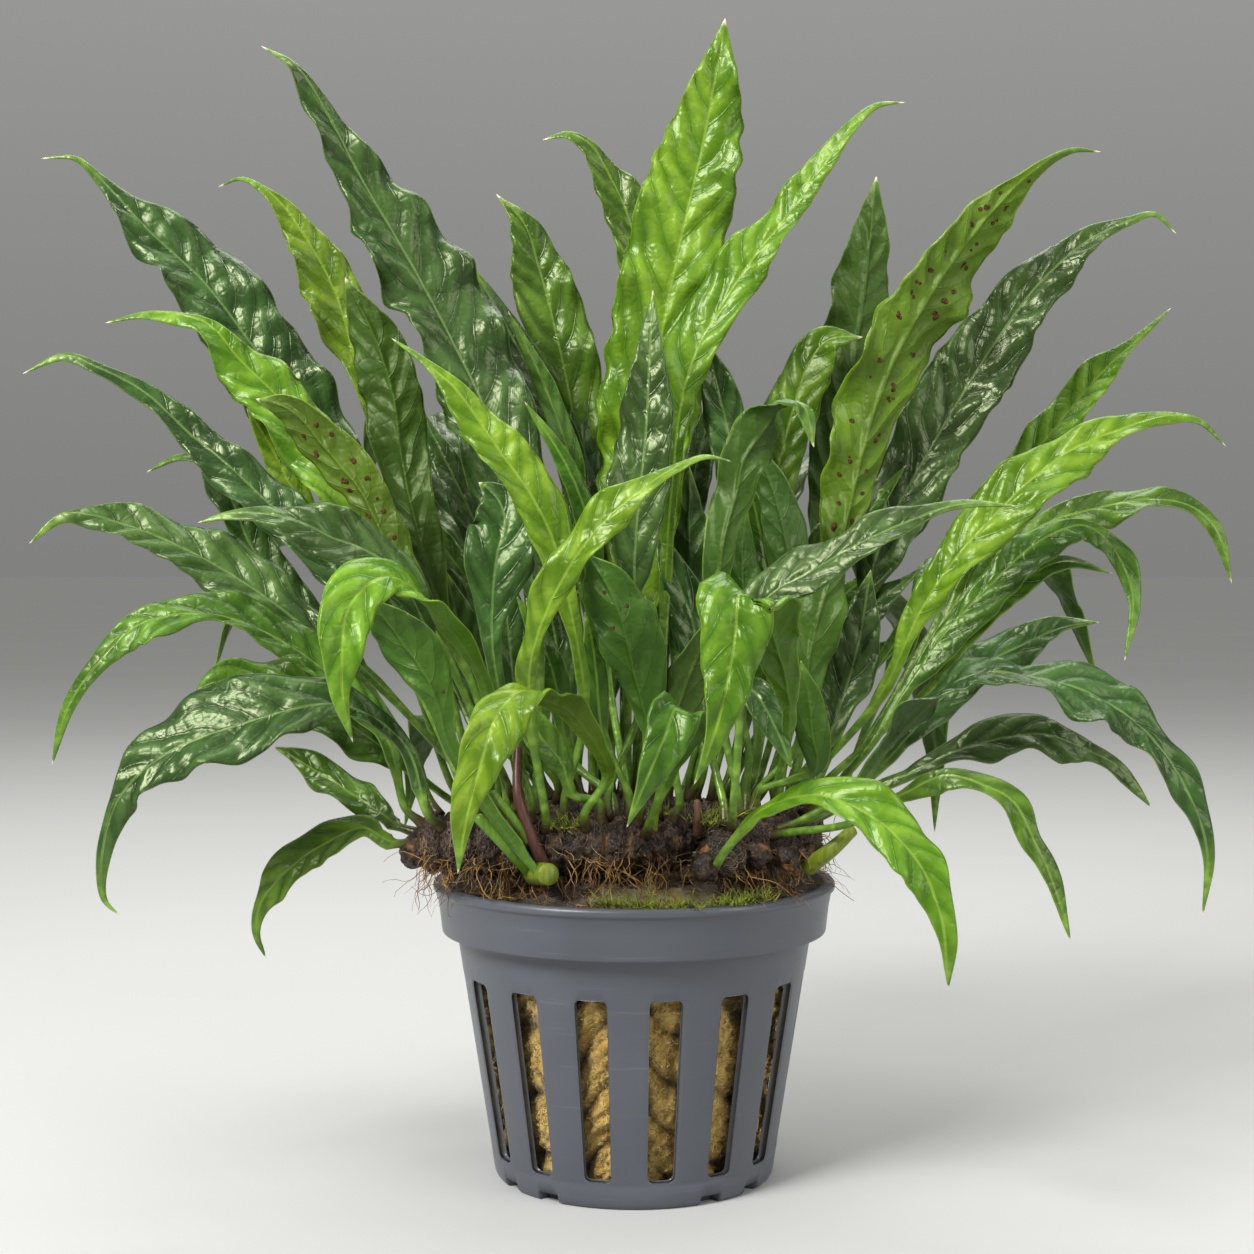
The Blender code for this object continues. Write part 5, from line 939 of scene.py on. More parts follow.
def frond_place(frond, seed, along, across, under):
    """Points of a frond at shares of its length and of its half width from the midrib (-1 to 1),
    on the upper face or, where under is 1, the lower one.

    The section is an ellipse on the stalk. On the blade it is a shallow V with waved margins,
    pillows between the side veins, and a midrib that is a thin line above and a ridge below.
    The side veins lie where the phase is whole: the walked length less a slant, which grows with
    the distance from the midrib and with its square, over the spacing. Smaller cells lie between
    them, parted by creases where a cloudy ripple over the flat blade changes sign.
    """
    length = route_length(frond)
    along, across, under = np.broadcast_arrays(along, across, under)
    stations = np.linspace(0, 1, 601)
    spine = smooth_path(frond_route(frond), stations)
    flow = np.gradient(spine, axis=0)
    for _ in range(3):
        flow[1:-1] = (flow[:-2] + flow[1:-1] + flow[2:]) / 3
    flow /= np.linalg.norm(flow, axis=1)[:, None]
    looks = np.array(frond.upper, float)
    upper = np.stack([np.interp(stations, np.linspace(0, 1, len(looks)), looks[:, axis])
                      for axis in range(3)], axis=1)
    upper -= (upper * flow).sum(axis=1)[:, None] * flow
    upper /= np.linalg.norm(upper, axis=1)[:, None]
    draw = np.random.default_rng(seed)
    roll = draw.uniform(-0.5, 0.5) * np.clip((stations - 0.80) / 0.2, 0, 1) ** 1.5
    sway = 0.10 * np.sin(2 * pi * stations * draw.uniform(1.0, 1.8) + draw.uniform(0, 6))
    roll = roll + sway * np.clip((stations - frond.stalk) * 6, 0, 1)
    beside = np.cross(upper, flow)
    upper, beside = (upper * np.cos(roll)[:, None] + beside * np.sin(roll)[:, None],
                     beside * np.cos(roll)[:, None] - upper * np.sin(roll)[:, None])

    def at(values):
        return np.stack([np.interp(along, stations, values[:, axis]) for axis in range(3)], -1)

    to_left = half_width(frond.left, along, frond)
    to_right = half_width(frond.right, along, frond)
    wing = STALK_WING * np.clip((along / frond.stalk - 0.35) / 0.65, 0, 1) ** 2 * (1 - along)
    to_left, to_right = np.maximum(to_left, wing), np.maximum(to_right, wing)
    blade = np.clip((to_left + to_right) / FULL_BLADE, 0, 1)
    width = max(frond.left) + max(frond.right)
    taper = (0.45 + 0.55 * (1 - along)) * np.clip((1 - along) / 0.05, 0.0, 1) ** 0.5
    stalk = STALK_HALF_WIDTH * taper + 0.4 * np.clip(1 - along * length / 3.0, 0, 1) ** 2
    walked = along * length
    spacing = VEIN_SPACING[0] + VEIN_SPACING[1] * width
    half = np.hypot(stalk, np.where(across > 0, to_left, to_right))
    side = np.sign(across + 1e-9)
    out = np.abs(across) * half
    slant = 0.80 * out + 1.15 * out**2 / np.maximum(half, 2.0)
    wander = 0.25 * np.sin(walked / spacing * 0.9 + draw.uniform(0, 6))
    wander = wander + 0.10 * ripple_along(walked, 14.0, seed)
    phase = (walked - slant) / spacing + 0.25 * side + wander
    edge_phase = (walked - 1.9 * half) / spacing + 0.25 * side + wander
    scallop = 1 + blade * (SCALLOP * np.cos(2 * pi * edge_phase + 2.4)
                           + SCALLOP * ripple_along(walked + 40 * side, 6.0, seed + 1))
    sideways = across * half * scallop

    crown = 1 - across**2
    groove = np.sqrt(np.sin(pi * phase) ** 2 + 0.02)
    cover = np.clip(np.abs(across) / 0.14, 0, 1) * np.clip((1 - np.abs(across)) / 0.22, 0, 1)
    pillow = (groove**0.7 - 0.55) * cover * min(PILLOW[0] * width, PILLOW[1]) * blade**0.6
    flat = np.stack([0.8 * walked - 0.6 * out, 0.8 * sideways + 30 * side, 0 * walked], -1)
    cells = np.abs(ripple(flat, CREASE_CELL, seed + 3)) ** 0.6
    pillow = pillow + (cells - 0.6) * cover * min(CREASE[0] * width, CREASE[1]) * blade**0.6
    wave = half * np.abs(across) ** 2.0 * (MARGIN_WAVE[0] * np.sin(2 * pi * edge_phase + 0.6)
                                          + MARGIN_WAVE[1] * ripple_along(walked + 60 * side, 12.0, seed + 2))
    keel = BLADE_KEEL * half * np.abs(across) ** 1.25
    line = np.exp(-(out / MIDRIB_WIDTH) ** 2)
    thick = HALF_THICKNESS[0] + HALF_THICKNESS[1] * crown
    face = 1 - 2 * under
    ridge = np.where(under > 0.5, *MIDRIB_RELIEF) * line
    on_blade = keel + wave + pillow + face * (thick + ridge * (0.4 + 0.6 * (1 - along)))
    on_stalk = face * STALK_HALF_HEIGHT * (stalk / STALK_HALF_WIDTH) * np.sqrt(np.clip(crown, 0, 1))
    height = on_stalk * (1 - blade) + on_blade * blade
    margin = np.clip((1 - np.abs(across)) / 0.04, 0, 1)
    height = height * margin + (keel + wave) * blade * (1 - margin)
    points = at(spine) + at(beside) * sideways[..., None] + at(upper) * height[..., None]
    return points, np.stack([out, walked, blade], -1), np.stack([phase, half, along], -1)


def route_length(frond):
    """Length of a frond from just inside the bark to its tip."""
    return path_length(frond_route(frond), 300)


def frond_piece(frond, seed, material, replaces=()):
    """A frond as one closed skin: rings of points over the upper face and back under the lower
    one, from foot to tip, with both ends capped."""
    spread = np.linspace(-1, 1, FROND_COLUMNS + 1)
    spread = spread * (0.55 + 0.45 * np.abs(spread))
    across = np.r_[spread, spread[-2:0:-1]]
    under = np.r_[np.zeros(len(spread)), np.ones(len(spread) - 2)]
    rows = int(route_length(frond) * (1 - frond.stalk) / FROND_STEP)
    along = np.r_[np.linspace(0, frond.stalk, 24)[:-1], np.linspace(frond.stalk, 1, rows)]
    points, place, veins = frond_place(frond, seed, along[:, None], across[None, :], under[None, :])
    ring = len(across)
    tint = np.random.default_rng(seed + TINT_SEED).uniform(-1, 1, 2)
    looks = np.stack(np.broadcast_arrays(under[None, :], tint[0], tint[1]), -1)
    looks = np.broadcast_to(looks, (len(along), ring, 3))
    return add_piece(frond.name, points, tube_faces(1, len(along), ring), material, replaces,
                     {"frond_spot": place, "frond_veins": veins, "frond_looks": looks})


def frond_material(name, gloss, deep_green_and_shade, body, light, vein, lower):
    """A leathery blade. Its green goes from deep green to body in broad clouds and takes a painted sheen of
    the light colour on the tops between the side veins; the side veins are thin lines of painted shade; the
    margin and the midrib are thin lines of vein colour, the lower face is matt and of its own green, the
    stalk is light green and browns at its foot, and the very tip is cream. Fine lines run beside the side
    veins. gloss is the strength of the shine."""
    material, tree, shader, place = new_material(name)
    out, walked, blade = point_facts(tree, "frond_spot")
    phase, half, share = point_facts(tree, "frond_veins")
    under, warm, bright = point_facts(tree, "frond_looks")
    cloud = noise(tree, place, 110.0, 3.0, 0.6)
    fine = noise(tree, place, 700.0, 2.0, 0.5)
    between = math_node(tree, "ABSOLUTE", math_node(tree, "SUBTRACT", math_node(tree, "FRACT", phase), 0.5))
    vein_line = math_node(tree, "MULTIPLY", ramp(tree, between, 0.445, 0.49), ramp(tree, blade, 0.4, 0.9))
    # Painted sheen: the tops of the pillows between the side veins take the light colour.
    top = math_node(tree, "MULTIPLY", ramp(tree, between, 0.44, 0.10),
                    ramp(tree, cloud, 0.38, 0.66, 0.15, 0.85))
    green = mix_colours(tree, ramp(tree, cloud, 0.3, 0.7), deep_green_and_shade, body)
    green = mix_colours(tree, top, green, light)
    green = mix_colours(tree, ramp(tree, fine, 0.45, 0.75, 0.0, 0.25), green, deep_green_and_shade)
    matt = mix_colours(tree, ramp(tree, cloud, 0.36, 0.64, 0.0, 0.45), lower, body)
    green = mix_colours(tree, under, green, matt)
    # Painted shade: the sunken side veins are drawn as thin dark lines.
    green = mix_colours(tree, math_node(tree, "MULTIPLY", vein_line, 0.55), green, deep_green_and_shade)
    hue = add_node(tree, "ShaderNodeHueSaturation", {
        "Hue": ramp(tree, warm, -1.0, 1.0, 0.512, 0.488),
        "Value": ramp(tree, bright, -1.0, 1.0, 0.84, 1.16),
        "Saturation": 1.0, "Fac": 1.0, "Color": green}).outputs["Color"]
    rib = math_node(tree, "MULTIPLY", ramp(tree, out, 0.22, 0.10), ramp(tree, under, 0.0, 1.0, 1.0, 0.2))
    margin = ramp(tree, math_node(tree, "SUBTRACT", half, out), 0.18, 0.05)
    green = mix_colours(tree, math_node(tree, "MULTIPLY", rib, 0.45), hue, vein)
    green = mix_colours(tree, math_node(tree, "MULTIPLY", margin, 0.5), green, vein)
    stalk = mix_colours(tree, ramp(tree, fine, 0.4, 0.7), (0.070, 0.150, 0.014, 1),
                        (0.150, 0.270, 0.030, 1))
    stalk = mix_colours(tree, ramp(tree, walked, 4.5, 0.8), stalk, (0.045, 0.028, 0.012, 1))
    green = mix_colours(tree, ramp(tree, blade, 0.45, 0.10), green, stalk)
    green = mix_colours(tree, ramp(tree, share, 0.988, 0.997), green, (0.72, 0.62, 0.42, 1))
    tree.links.new(green, shader.inputs["Base Color"])
    satin = ramp(tree, cloud, 0.3, 0.7, 0.31, 0.40)
    satin = math_node(tree, "ADD", satin, math_node(tree, "MULTIPLY", under, 0.16))
    tree.links.new(satin, shader.inputs["Roughness"])
    shader.inputs["Specular IOR Level"].default_value = gloss
    shader.inputs["Specular Tint"].default_value = (0.92, 1.0, 0.62, 1)
    net = add_node(tree, "ShaderNodeTexVoronoi", {"Vector": place, "Scale": 620.0},
                   feature="DISTANCE_TO_EDGE").outputs["Distance"]
    lines = math_node(tree, "SINE", math_node(tree, "MULTIPLY", phase, 56.0))
    lines = math_node(tree, "MULTIPLY", lines, ramp(tree, half, 2.0, 4.0, 0.0, 0.03))
    relief = math_node(tree, "ADD", ramp(tree, net, 0.0, 0.25, 0.0, 0.45), lines)
    relief = math_node(tree, "SUBTRACT", relief, math_node(tree, "MULTIPLY", vein_line, 0.5))
    set_relief(tree, shader, 0.7, 0.00012, relief)
    return material


# Each finish: shine, deep green, body, the colour of the painted sheen on the pillow tops, vein colour and
# lower face.
FROND_FINISHES = {
    "old": frond_material("frond_old", 0.55, (0.008, 0.030, 0.003, 1), (0.019, 0.062, 0.006, 1),
                          (0.048, 0.112, 0.020, 1), (0.170, 0.270, 0.070, 1), (0.020, 0.058, 0.002, 1)),
    "mature": frond_material("frond_mature", 0.48, (0.018, 0.056, 0.002, 1), (0.042, 0.112, 0.004, 1),
                             (0.090, 0.195, 0.014, 1), (0.190, 0.310, 0.040, 1), (0.022, 0.062, 0.001, 1)),
    "young": frond_material("frond_young", 0.42, (0.040, 0.105, 0.001, 1), (0.085, 0.180, 0.003, 1),
                            (0.165, 0.280, 0.018, 1), (0.240, 0.360, 0.040, 1), (0.042, 0.095, 0.001, 1)),
}
# Routes of fronds that fold over at a crease, with more points set close before and after it
CREASED = {
    "front_11": ((20, -21, 64.5), (18, -32, 73), (15, -39.5, 79.5), (12.9, -42.4, 80.8),
                 (12.3, -43.0, 80.9), (12.1, -43.4, 79.8), (11.5, -44.2, 74.5), (9.5, -45, 65.5),
                 (7, -43, 58.5)),
    "front_07": ((4.5, -24, 58), (7, -31, 63.5), (6.0, -35, 66.3), (5.2, -36.6, 66.9),
                 (4.8, -37.3, 66.9), (4.4, -37.9, 65.9), (2.5, -40, 61.5), (0.5, -40, 57),
                 (-1, -40, 53)),
}
for order, frond in enumerate(FRONDS):
    frond = frond._replace(route=CREASED.get(frond.name, frond.route))
    named = frond._replace(name="frond_" + frond.name + "_blade")
    frond_piece(named, FROND_SEED + order, FROND_FINISHES[frond.age],
                ["frond_" + frond.name])

# Lesser fronds
# Narrow fronds that fill the crown between and behind the others, of the same leathery blades.
# Each grows out of a rhizome too.
LESSER_SEED = 200


def even(*widths):
    """The same half widths on both sides of a midrib."""
    return widths, widths


LESSER_FRONDS = (
    Frond("edge_left", "young", Seat("back", 0, (-0.8, -0.1, 0.6)), 0.66, (FRONT_UP,),
          (0.7, 1.3, 1.9, 2.1, 1.9, 1.5, 0.9), (0.7, 1.4, 2, 2.2, 2, 1.6, 0.9),
          ((-33.5, 8, 72.5), (-45.5, 7, 91), (-49, 7, 96), (-51.5, 7, 101), (-55, 6, 107))),
    Frond("edge_right", "mature", Seat("right", 0.8, (0.6, 0.2, 0.8)), 0.5, (FRONT_UP,),
          *even(0.8, 1.4, 1.8, 1.9, 1.7, 1.3, 0.7),
          ((41, -1, 67.5), (51, 0, 79.5), (59.5, 1, 85), (67, 1, 83.5))),
    Frond("middle_01", "mature", Seat("back", 0.45, (-0.2, 0, 1)), 0.42, (FRONT_UP,),
          *even(0.6, 1.1, 1.6, 1.9, 1.8, 1.4, 0.8),
          ((-6, 4, 74), (-8.5, 6, 97), (-12.5, 7, 109.5), (-18, 8, 121))),
    Frond("middle_02", "mature", Seat("front", 0.85, (-0.1, 0.4, 1)), 0.38, (FRONT_UP,),
          *even(0.6, 1.1, 1.5, 1.7, 1.5, 1.2, 0.7),
          ((-4.5, -5, 74.5), (-6.5, -5, 91), (-10, -5, 99.5), (-15, -5, 107))),
    Frond("middle_03", "old", Seat("right", 0.62, (0.3, -0.2, 1)), 0.26, (FRONT_UP,),
          (1, 2.4, 3.6, 4, 3.7, 2.8, 1.5), (1, 2, 3, 3.4, 3, 2.2, 1.2),
          ((26, -7, 60), (29, -5, 67.5), (31, -4, 74.5), (32.5, -4, 84))),
    Frond("middle_04", "mature", Seat("front", 1, (0.3, -0.4, 1)), 0.3, (BACK_UP,),
          *even(1, 2, 2.7, 3, 2.7, 2, 1),
          ((4.5, -17, 61.5), (6.5, -18, 68.5), (8.5, -18, 73.5), (10.5, -18, 78.5))),
    Frond("middle_05", "old", Seat("right", 0.12, (-0.1, 0.3, 1)), 0.34, (FRONT_UP,),
          *even(0.9, 1.8, 2.6, 3, 2.7, 2, 1),
          ((9, -7, 65), (8, -5, 76.5), (5.5, -4, 83.5), (2.5, -3, 91))),
    Frond("middle_06", "old", Seat("right", 0.35, (0, 0.3, 1)), 0.44, (FRONT_UP,),
          *even(1, 1.7, 2.1, 2.2, 2, 1.5, 0.8),
          ((15.5, -9, 59.5), (14, -12, 66), (15.5, -16, 68), (18.5, -19, 63), (20.5, -19, 58))),
    Frond("middle_07", "mature", Seat("right", 0.3, (0.3, 0.1, 1)), 0.3, (BACK_UP,),
          *even(1, 2.2, 3.2, 3.6, 3.3, 2.4, 1.2),
          ((22.5, -10, 61), (23.5, -10, 72), (26, -9, 81.5), (29.5, -8, 90))),
    Frond("middle_08", "mature", Seat("front", 0.86, (-0.1, -0.2, 1)), 0.36, (FRONT_UP,),
          (0.7, 1.3, 1.7, 1.9, 1.8, 1.4, 0.7), (0.6, 1.1, 1.4, 1.5, 1.4, 1.1, 0.6),
          ((-4, -16, 61.5), (-5, -17, 69.5), (-5.5, -17, 74), (-6.5, -17, 78.5))),
    Frond("middle_09", "old", Seat("back", 0.82, (0.05, 0, 1)), 0.3, (BACK_UP,),
          *even(1.2, 2.6, 3.6, 4, 3.6, 2.7, 1.4),
          ((9.5, 8, 59.5), (8.5, 8, 74), (8, 9, 85.5), (8, 10, 99))),
    Frond("middle_10", "mature", Seat("front", 0.72, (-0.1, -0.5, 1)), 0.34, (FRONT_UP,),
          *even(0.8, 1.6, 2.1, 2.3, 2.1, 1.6, 0.8),
          ((-8, -18, 54.5), (-9.5, -19, 58.5), (-12, -20, 62), (-14, -20, 65), (-17, -20, 67))),
    Frond("middle_11", "mature", Seat("right", 0.4, (0.1, -0.3, 1)), 0.34, (BACK_UP,),
          *even(0.8, 1.6, 2.1, 2.3, 2.1, 1.6, 0.8),
          ((24, -14, 57.5), (23.5, -15, 63), (23, -15, 67.5), (22, -15, 72))),
    Frond("middle_12", "old", Seat("back", 0.32, (-0.2, -0.2, 1)), 0.34, (FRONT_UP,),
          *even(0.8, 1.6, 2.1, 2.3, 2.1, 1.6, 0.8),
          ((-8.5, 2, 57.5), (-10, 1, 67), (-11, 1, 74), (-12.5, 1, 82))),
    Frond("middle_13", "old", Seat("back", 0.08, (-0.3, -0.1, 1)), 0.32, (FRONT_UP,),
          *even(1.1, 2.2, 3, 3.4, 3.1, 2.3, 1.2),
          ((-20.5, 5, 57), (-23, 6, 67), (-24.5, 7, 74), (-27, 8, 84))),
    Frond("middle_14", "mature", Seat("front", 0.8, (-0.2, 0.5, 1)), 0.36, (FRONT_UP,),
          *even(0.7, 1.3, 1.8, 2, 1.8, 1.4, 0.7),
          ((-8.5, -6, 58), (-10.5, -7, 67.5), (-12.5, -8, 74), (-16, -8, 80.5))),
    Frond("middle_15", "mature", Seat("right", 0.45, (-0.3, 0.2, 1)), 0.36, (BACK_UP,),
          *even(1, 2, 2.6, 2.8, 2.6, 2, 1),
          ((17, -3, 60.5), (16, -2, 74.5), (15, -1, 84), (15.5, 0, 93.5))),
    Frond("middle_16", "mature", Seat("right", 0.7, (-0.2, 0.2, 1)), 0.36, (FRONT_UP,),
          *even(1, 2, 2.6, 2.8, 2.6, 2, 1),
          ((21, 2, 60), (19.5, 3, 77), (18, 4, 88), (16, 4, 97.5))),
    Frond("middle_17", "old", Seat("back", 0.2, (-0.1, -0.2, 1)), 0.34, (FRONT_UP,),
          *even(1, 1.9, 2.6, 2.9, 2.6, 2, 1),
          ((-15.5, 3, 57), (-17, 3, 68.5), (-18, 4, 77), (-19, 4, 87.5))),
)
INNER_FRONDS = 30             # fronds deep in the crown, which only show between the others
INNER_SEED = 240
INNER_PLACE_SEED = 61
INNER_RISES = (62, 44, 30)    # height of a tip above its foot, in turn
INNER_STALK = 0.38
INNER_WIDTHS = (2.2, 3.4)     # least and greatest half width
INNER_SHAPE = np.array([0.3, 0.65, 0.9, 1.0, 0.9, 0.65, 0.3])

for order, frond in enumerate(LESSER_FRONDS):
    frond_piece(frond._replace(name="lesser_frond_" + frond.name), LESSER_SEED + order,
                FROND_FINISHES[frond.age])

inner_draw = np.random.default_rng(INNER_PLACE_SEED)
for order in range(INNER_FRONDS):
    share = (order + 0.5) / INNER_FRONDS
    lean = 1.9 * (share - 0.5) + inner_draw.normal(0, 0.12)
    rise = INNER_RISES[order % 3] * inner_draw.uniform(0.9, 1.1)
    reach, back = inner_draw.uniform(38, 58), inner_draw.uniform(2, 16)
    seat = Seat("back", share, (lean, inner_draw.uniform(-0.3, 0.3), 1.0))
    foot = seat_point(seat)[0]
    tip = foot + (reach * lean * 0.75, back, rise * (1 - 0.30 * lean**2))
    bend = foot + 0.45 * (tip - foot) + (-0.12 * reach * lean, 0.0, 0.06 * rise)
    widths = tuple(inner_draw.uniform(*INNER_WIDTHS) * INNER_SHAPE)
    frond = Frond("inner_frond_%02d" % (order + 1), ("old", "mature")[order % 2], seat, INNER_STALK,
                  (FRONT_UP, FRONT_UP), widths, widths, (bend, tip))
    frond_piece(frond, INNER_SEED + order, FROND_FINISHES[frond.age])

# Spore patches and blemishes
# Small brown heaps of spore cases on the lower faces of a few fronds, in two rows between the side
# veins, and brown marks on older leaves. They grow out of the blade.
BLEMISH_RADIUS = 0.30
PATCH_SIDES = 10
PATCH_RADII = (0.22, 0.46)    # least and greatest
PATCH_HEIGHT = 0.34           # height of a dome as a share of its radius
PATCH_SPACING = 0.72          # distance between patches, in distances between side veins
PATCH_STEP = (0.004, 0.02)    # shares along and across over which a blade's slope is read
PATCH_SEED = 71
# Frond, share of the half width at which both rows lie, and where on the blade they start and end
SPORE_ROWS = (("right_02", 0.42, 0.14, 0.86), ("left_14", 0.45, 0.25, 0.85),
              ("left_04", 0.50, 0.55, 0.80), ("right_12", 0.50, 0.25, 0.65))
# Frond, share of the blade's length, and place across it
BLEMISHES = (("front_08", 0.62, -0.35), ("front_08", 0.70, 0.30), ("front_08", 0.80, -0.2),
             ("front_02", 0.60, 0.45), ("left_06", 0.78, 0.2), ("left_09", 0.70, 0.4))


def patches(order, along, across, radius):
    """Low domes on the lower face of one frond. Rings of points lie on a quarter circle over the
    blade: their distance from the middle is its cosine, and their height PATCH_HEIGHT times its
    sine."""
    frond, seed = FRONDS[order], FROND_SEED + order
    middle = frond_place(frond, seed, along, across, 1.0)[0]
    walk = frond_place(frond, seed, along + PATCH_STEP[0], across, 1.0)[0]
    aside = frond_place(frond, seed, along, across + PATCH_STEP[1], 1.0)[0]
    walk, aside = walk - middle, aside - middle
    walk /= np.linalg.norm(walk, axis=-1, keepdims=True)
    aside -= (aside * walk).sum(-1, keepdims=True) * walk
    aside /= np.linalg.norm(aside, axis=-1, keepdims=True)
    out = np.cross(walk, aside)
    upper = frond_place(frond, seed, along, across, 0.0)[0] - middle
    out *= -np.sign((out * upper).sum(-1, keepdims=True))
    rise = np.array([-0.5, 0.0, 0.5, 1.0, 1.5])
    turn = 2 * pi * np.arange(PATCH_SIDES) / PATCH_SIDES
    circle = np.cos(turn)[:, None] * walk[:, None] + np.sin(turn)[:, None] * aside[:, None]
    size = radius[:, None, None, None]
    points = (middle[:, None, None] + circle[:, None] * (size * np.cos(rise)[:, None, None])
              + out[:, None, None] * (size * PATCH_HEIGHT * np.sin(rise)[:, None, None]))
    facing = np.sign((np.cross(walk, aside) * out).sum(-1)) > 0
    points[~facing] = points[~facing][:, :, ::-1]
    facts = np.broadcast_to(rise[None, :, None, None] * (0.0, 0.0, 1.0), points.shape)
    return points.reshape(-1, 3), tube_faces(len(points), len(rise), PATCH_SIDES), facts


def patch_material():
    """Dark brown grains, rusty where the patch meets the blade."""
    material, tree, shader, place = new_material("spore_patch")
    rise = point_facts(tree, "patch_facts")[2]
    grain = noise(tree, place, 4000.0, 2.0)
    brown = mix_colours(tree, ramp(tree, grain, 0.35, 0.65), (0.012, 0.006, 0.002, 1),
                        (0.10, 0.045, 0.008, 1))
    brown = mix_colours(tree, ramp(tree, rise, 0.40, 0.05), brown, (0.11, 0.075, 0.006, 1))
    tree.links.new(brown, shader.inputs["Base Color"])
    shader.inputs["Roughness"].default_value = 0.85
    shader.inputs["Specular IOR Level"].default_value = 0.2
    set_relief(tree, shader, 0.8, 0.0001, grain)
    return material


patch_brown = patch_material()
frond_order = {frond.name: order for order, frond in enumerate(FRONDS)}
patch_draw = np.random.default_rng(PATCH_SEED)
for name, across, start, end in SPORE_ROWS:
    frond = FRONDS[frond_order[name]]
    walk = frond.stalk + (1 - frond.stalk) * np.linspace(start, end, 400)
    places = []
    for side in (-1, 1):
        phase = frond_place(frond, FROND_SEED + frond_order[name], walk, side * across, 1.0)[2][:, 0]
        between = np.arange(np.ceil(phase.min() - 0.5) + 0.5, phase.max(), PATCH_SPACING)
        for value in between:
            grains = patch_draw.integers(1, 4)
            spot = np.array([np.interp(value + patch_draw.normal(0, 0.12), phase, walk),
                             side * across + patch_draw.normal(0, 0.06)])
            steps = patch_draw.normal(0, 1, (grains, 2)) * (0.0035, 0.055)
            places += list(spot + steps)
    along, across_row = np.array(places).T
    radius = patch_draw.uniform(*PATCH_RADII, len(along))
    points, faces, facts = patches(frond_order[name], along, across_row, radius)
    add_piece("frond_" + name + "_spores", points, faces, patch_brown, attributes={"patch_facts": facts})
for count, (name, share, across) in enumerate(BLEMISHES):
    frond = FRONDS[frond_order[name]]
    along = np.array([frond.stalk + (1 - frond.stalk) * share])
    points, faces, facts = patches(frond_order[name], along, np.array([across]), np.array([BLEMISH_RADIUS]))
    add_piece("frond_%s_mark_%d" % (name, count + 1), points, faces, patch_brown,
              attributes={"patch_facts": facts})

# Roots, stubs and moss
# Golden brown roots that grow out of the rhizomes, droop over the wool and fray at the rim, old
# leaf stubs and young shoots on the rhizomes, and tufts of bright moss between them.
ROOTS = {"front": 420, "right": 300, "back": 260}
ROOT_STEPS = 12
ROOT_STEP = 1.0
ROOT_SEED = 81
RIM_START = 22                # roots that start farther from the axis take shorter steps
RIM_STEP_SHARE = 0.6
ROOT_REST = (42.35, 41.25)    # height of a root that rests on the middle of the wool, or on the lip
WOOL_EDGE = 25.6              # radius where roots pass from the wool to the lip
ARCH_START = 28.6             # radius past the lip from which roots sink, and how steeply
ARCH_FALL = 1.1
# Cut stalks and young shoots: colour, radii from foot to end, and route
SHOOTS = {
    "petiole_purple": ((0.10, 0.040, 0.026), (0.9, 0.7, 0.55),
                       ((-11.6, -18.2, 44.6), (-13.6, -20, 49.8), (-15.1, -20, 54.5), (-15.3, -17, 61.1))),
    "petiole_joined": ((0.12, 0.22, 0.02), (0.6, 0.65, 0.6),
                       ((-13.9, -19.6, 48.6), (-16.1, -21, 52.2), (-18.7, -20, 55.2))),
    "petiole_blunt": ((0.10, 0.21, 0.015), (0.8, 0.8, 0.75),
                      ((-13.6, -18.2, 44.2), (-16.8, -21, 48.3), (-20.5, -21, 52.2))),
    "stub_pale": ((0.17, 0.22, 0.02), (1.5, 1.5, 1.45),
                  ((-13.2, -17, 44.0), (-12.2, -19.6, 44.4), (-11.0, -22.4, 44.7))),
    "stub_right": ((0.17, 0.22, 0.015), (1.2, 1.05, 0.8),
                   ((23.2, -12.5, 44.2), (26.4, -15.6, 47.3), (29.2, -15, 49.8))),
    "sprout": ((0.16, 0.24, 0.02), (0.45, 0.4, 0.25),
               ((2.6, -15.5, 49.5), (2.9, -16.4, 52.0), (3.6, -17, 54.1))),
    "bud": ((0.12, 0.06, 0.035), (0.6, 0.6, 0.4),
            ((8.3, -15.0, 49.0), (8.4, -16.4, 51.5), (8.2, -16.6, 53.8))),
}
# Swellings of old bark: middle and radius
KNOBS = ((-29.2, -13.5, 46.4, 2.2), (9.0, -22.6, 45.6, 1.9), (16.2, -17.2, 46.6, 1.7),
         (20.4, -14.6, 45.6, 1.7), (23.6, -12.4, 45.9, 1.8))
# Feet of the moss tufts
MOSS_TUFTS = ((-8.6, -17.0, 50.2), (9.9, -15.5, 50.6), (1.5, -25.0, 40.9), (6.5, -25.2, 40.9),
              (12.0, -23.5, 41.0), (-3.0, -24.6, 41.0), (15.5, -21.5, 41.2), (3.5, -11.0, 51.0),
              (-16.0, -14.0, 51.6), (12.5, -12.0, 51.2))
MOSS_STRANDS = 90
MOSS_RADIUS = 0.09
MOSS_SEED = 101
KNOB_SEED = 91


def resting_height(place):
    """Height of what lies under a root: the wool's dome, then the lip, then a stiff arch past it."""
    radius = np.linalg.norm(place[..., :2], axis=-1)
    arch = ROOT_REST[1] - ARCH_FALL * np.maximum(radius - ARCH_START, 0)
    return np.where(radius < WOOL_EDGE, ROOT_REST[0] - wool_sink(radius), arch)


